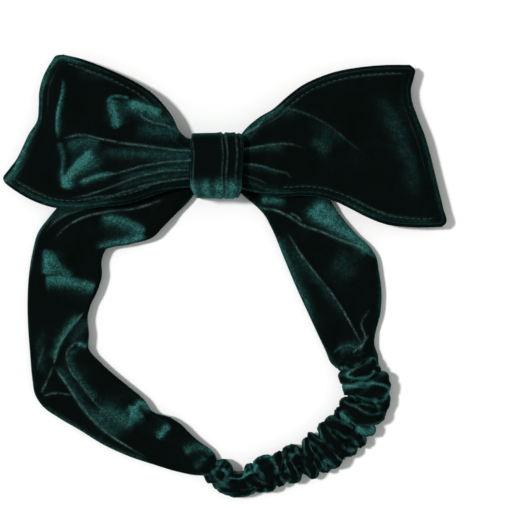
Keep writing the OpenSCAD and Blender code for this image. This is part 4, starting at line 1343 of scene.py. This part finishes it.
class HEADBAND_OT_band(bpy.types.Operator):
    """Lay both halves of the flat tube band"""

    bl_idname = "headband.band"
    bl_label = "Band"

    def execute(self, context):
        sew_band("left", LEFT_BAND, LEFT_BAND_CREASES, LEFT_BAND_PAINTED_SHEEN, 21, 3.2)
        sew_band("right", RIGHT_BAND, RIGHT_BAND_CREASES, RIGHT_BAND_PAINTED_SHEEN, 34, 0.6)
        return {"FINISHED"}


class HEADBAND_OT_casing(bpy.types.Operator):
    """Gather the casing over its elastic"""

    bl_idname = "headband.casing"
    bl_label = "Gathered casing"

    def execute(self, context):
        casing_pieces()
        return {"FINISHED"}


class HEADBAND_OT_stage(bpy.types.Operator):
    """Set up the floor, the light and the camera"""

    bl_idname = "headband.stage"
    bl_label = "Stage"

    def execute(self, context):
        scene = context.scene
        mesh = bpy.data.meshes.new("floor")
        mesh.from_pydata([(-3, -3, 0), (3, -3, 0), (3, 3, 0), (-3, 3, 0)], [], [(0, 1, 2, 3)])
        floor = bpy.data.objects.new("floor", mesh)
        scene.collection.objects.link(floor)
        paper = Finish("paper_floor")
        grain = paper.noise(paper.position(), 90, 2)
        pale = paper.mixed(grain, (0.90, 0.90, 0.895, 1), (0.92, 0.92, 0.915, 1))
        paper.set(Base_Color=pale, Roughness=0.9, Specular_IOR_Level=0.1)
        mesh.materials.append(paper.material)
        world = bpy.data.worlds.new("studio")
        world.use_nodes = True
        sky = world.node_tree.nodes["Background"].inputs
        sky["Color"].default_value = (0.965, 1.0, 0.965, 1)
        sky["Strength"].default_value = 0.52
        scene.world = world
        key = bpy.data.lights.new("key", "SUN")
        key.energy = 2.55
        key.angle = math.radians(7)
        key.color = (1.0, 0.99, 1.0)
        lamp = bpy.data.objects.new("key", key)
        lamp.rotation_euler = (math.radians(-6), math.radians(-30), 0)
        scene.collection.objects.link(lamp)
        lens = bpy.data.cameras.new("camera")
        eye = bpy.data.objects.new("camera", lens)
        view_height, rise, focus_z = 0.2746, 1.25, 0.006
        lens.sensor_fit = "VERTICAL"
        lens.sensor_height = 24
        lens.lens = lens.sensor_height * rise / view_height
        eye.location = (0.0202, -0.0515, rise + focus_z)
        scene.collection.objects.link(eye)
        scene.camera = eye
        scene.view_settings.view_transform = "Standard"
        scene.view_settings.look = "None"
        return {"FINISHED"}


class HEADBAND_PT_panel(bpy.types.Panel):
    """Lists the steps that sew the headband"""

    bl_label = "Velvet bow headband"
    bl_idname = "HEADBAND_PT_panel"
    bl_space_type = "VIEW_3D"
    bl_region_type = "UI"
    bl_category = "Headband"

    def draw(self, context):
        for group in ("bow", "band", "casing", "velvet"):
            box = self.layout.box()
            for key in setting_names(settings(group)):
                box.prop(settings(group), key)
        for operator in OPERATORS:
            self.layout.operator(operator.bl_idname)


GROUPS = {"bow": BowSizes, "band": BandSizes, "casing": CasingSizes, "velvet": VelvetLook}
OPERATORS = (HEADBAND_OT_left_wing, HEADBAND_OT_right_wing, HEADBAND_OT_knot, HEADBAND_OT_band,
             HEADBAND_OT_casing, HEADBAND_OT_stage)
CLASSES = (*GROUPS.values(), *OPERATORS, HEADBAND_PT_panel)


def register():
    for cls in CLASSES:
        bpy.utils.register_class(cls)
    for name, group in GROUPS.items():
        setattr(bpy.types.Scene, "headband_" + name, bpy.props.PointerProperty(type=group))


def unregister():
    for name in GROUPS:
        delattr(bpy.types.Scene, "headband_" + name)
    for cls in reversed(CLASSES):
        bpy.utils.unregister_class(cls)


def main():
    register()
    bpy.ops.headband.left_wing()
    bpy.ops.headband.right_wing()
    bpy.ops.headband.knot()
    bpy.ops.headband.band()
    bpy.ops.headband.casing()
    bpy.ops.headband.stage()


if __name__ == "__main__":
    main()
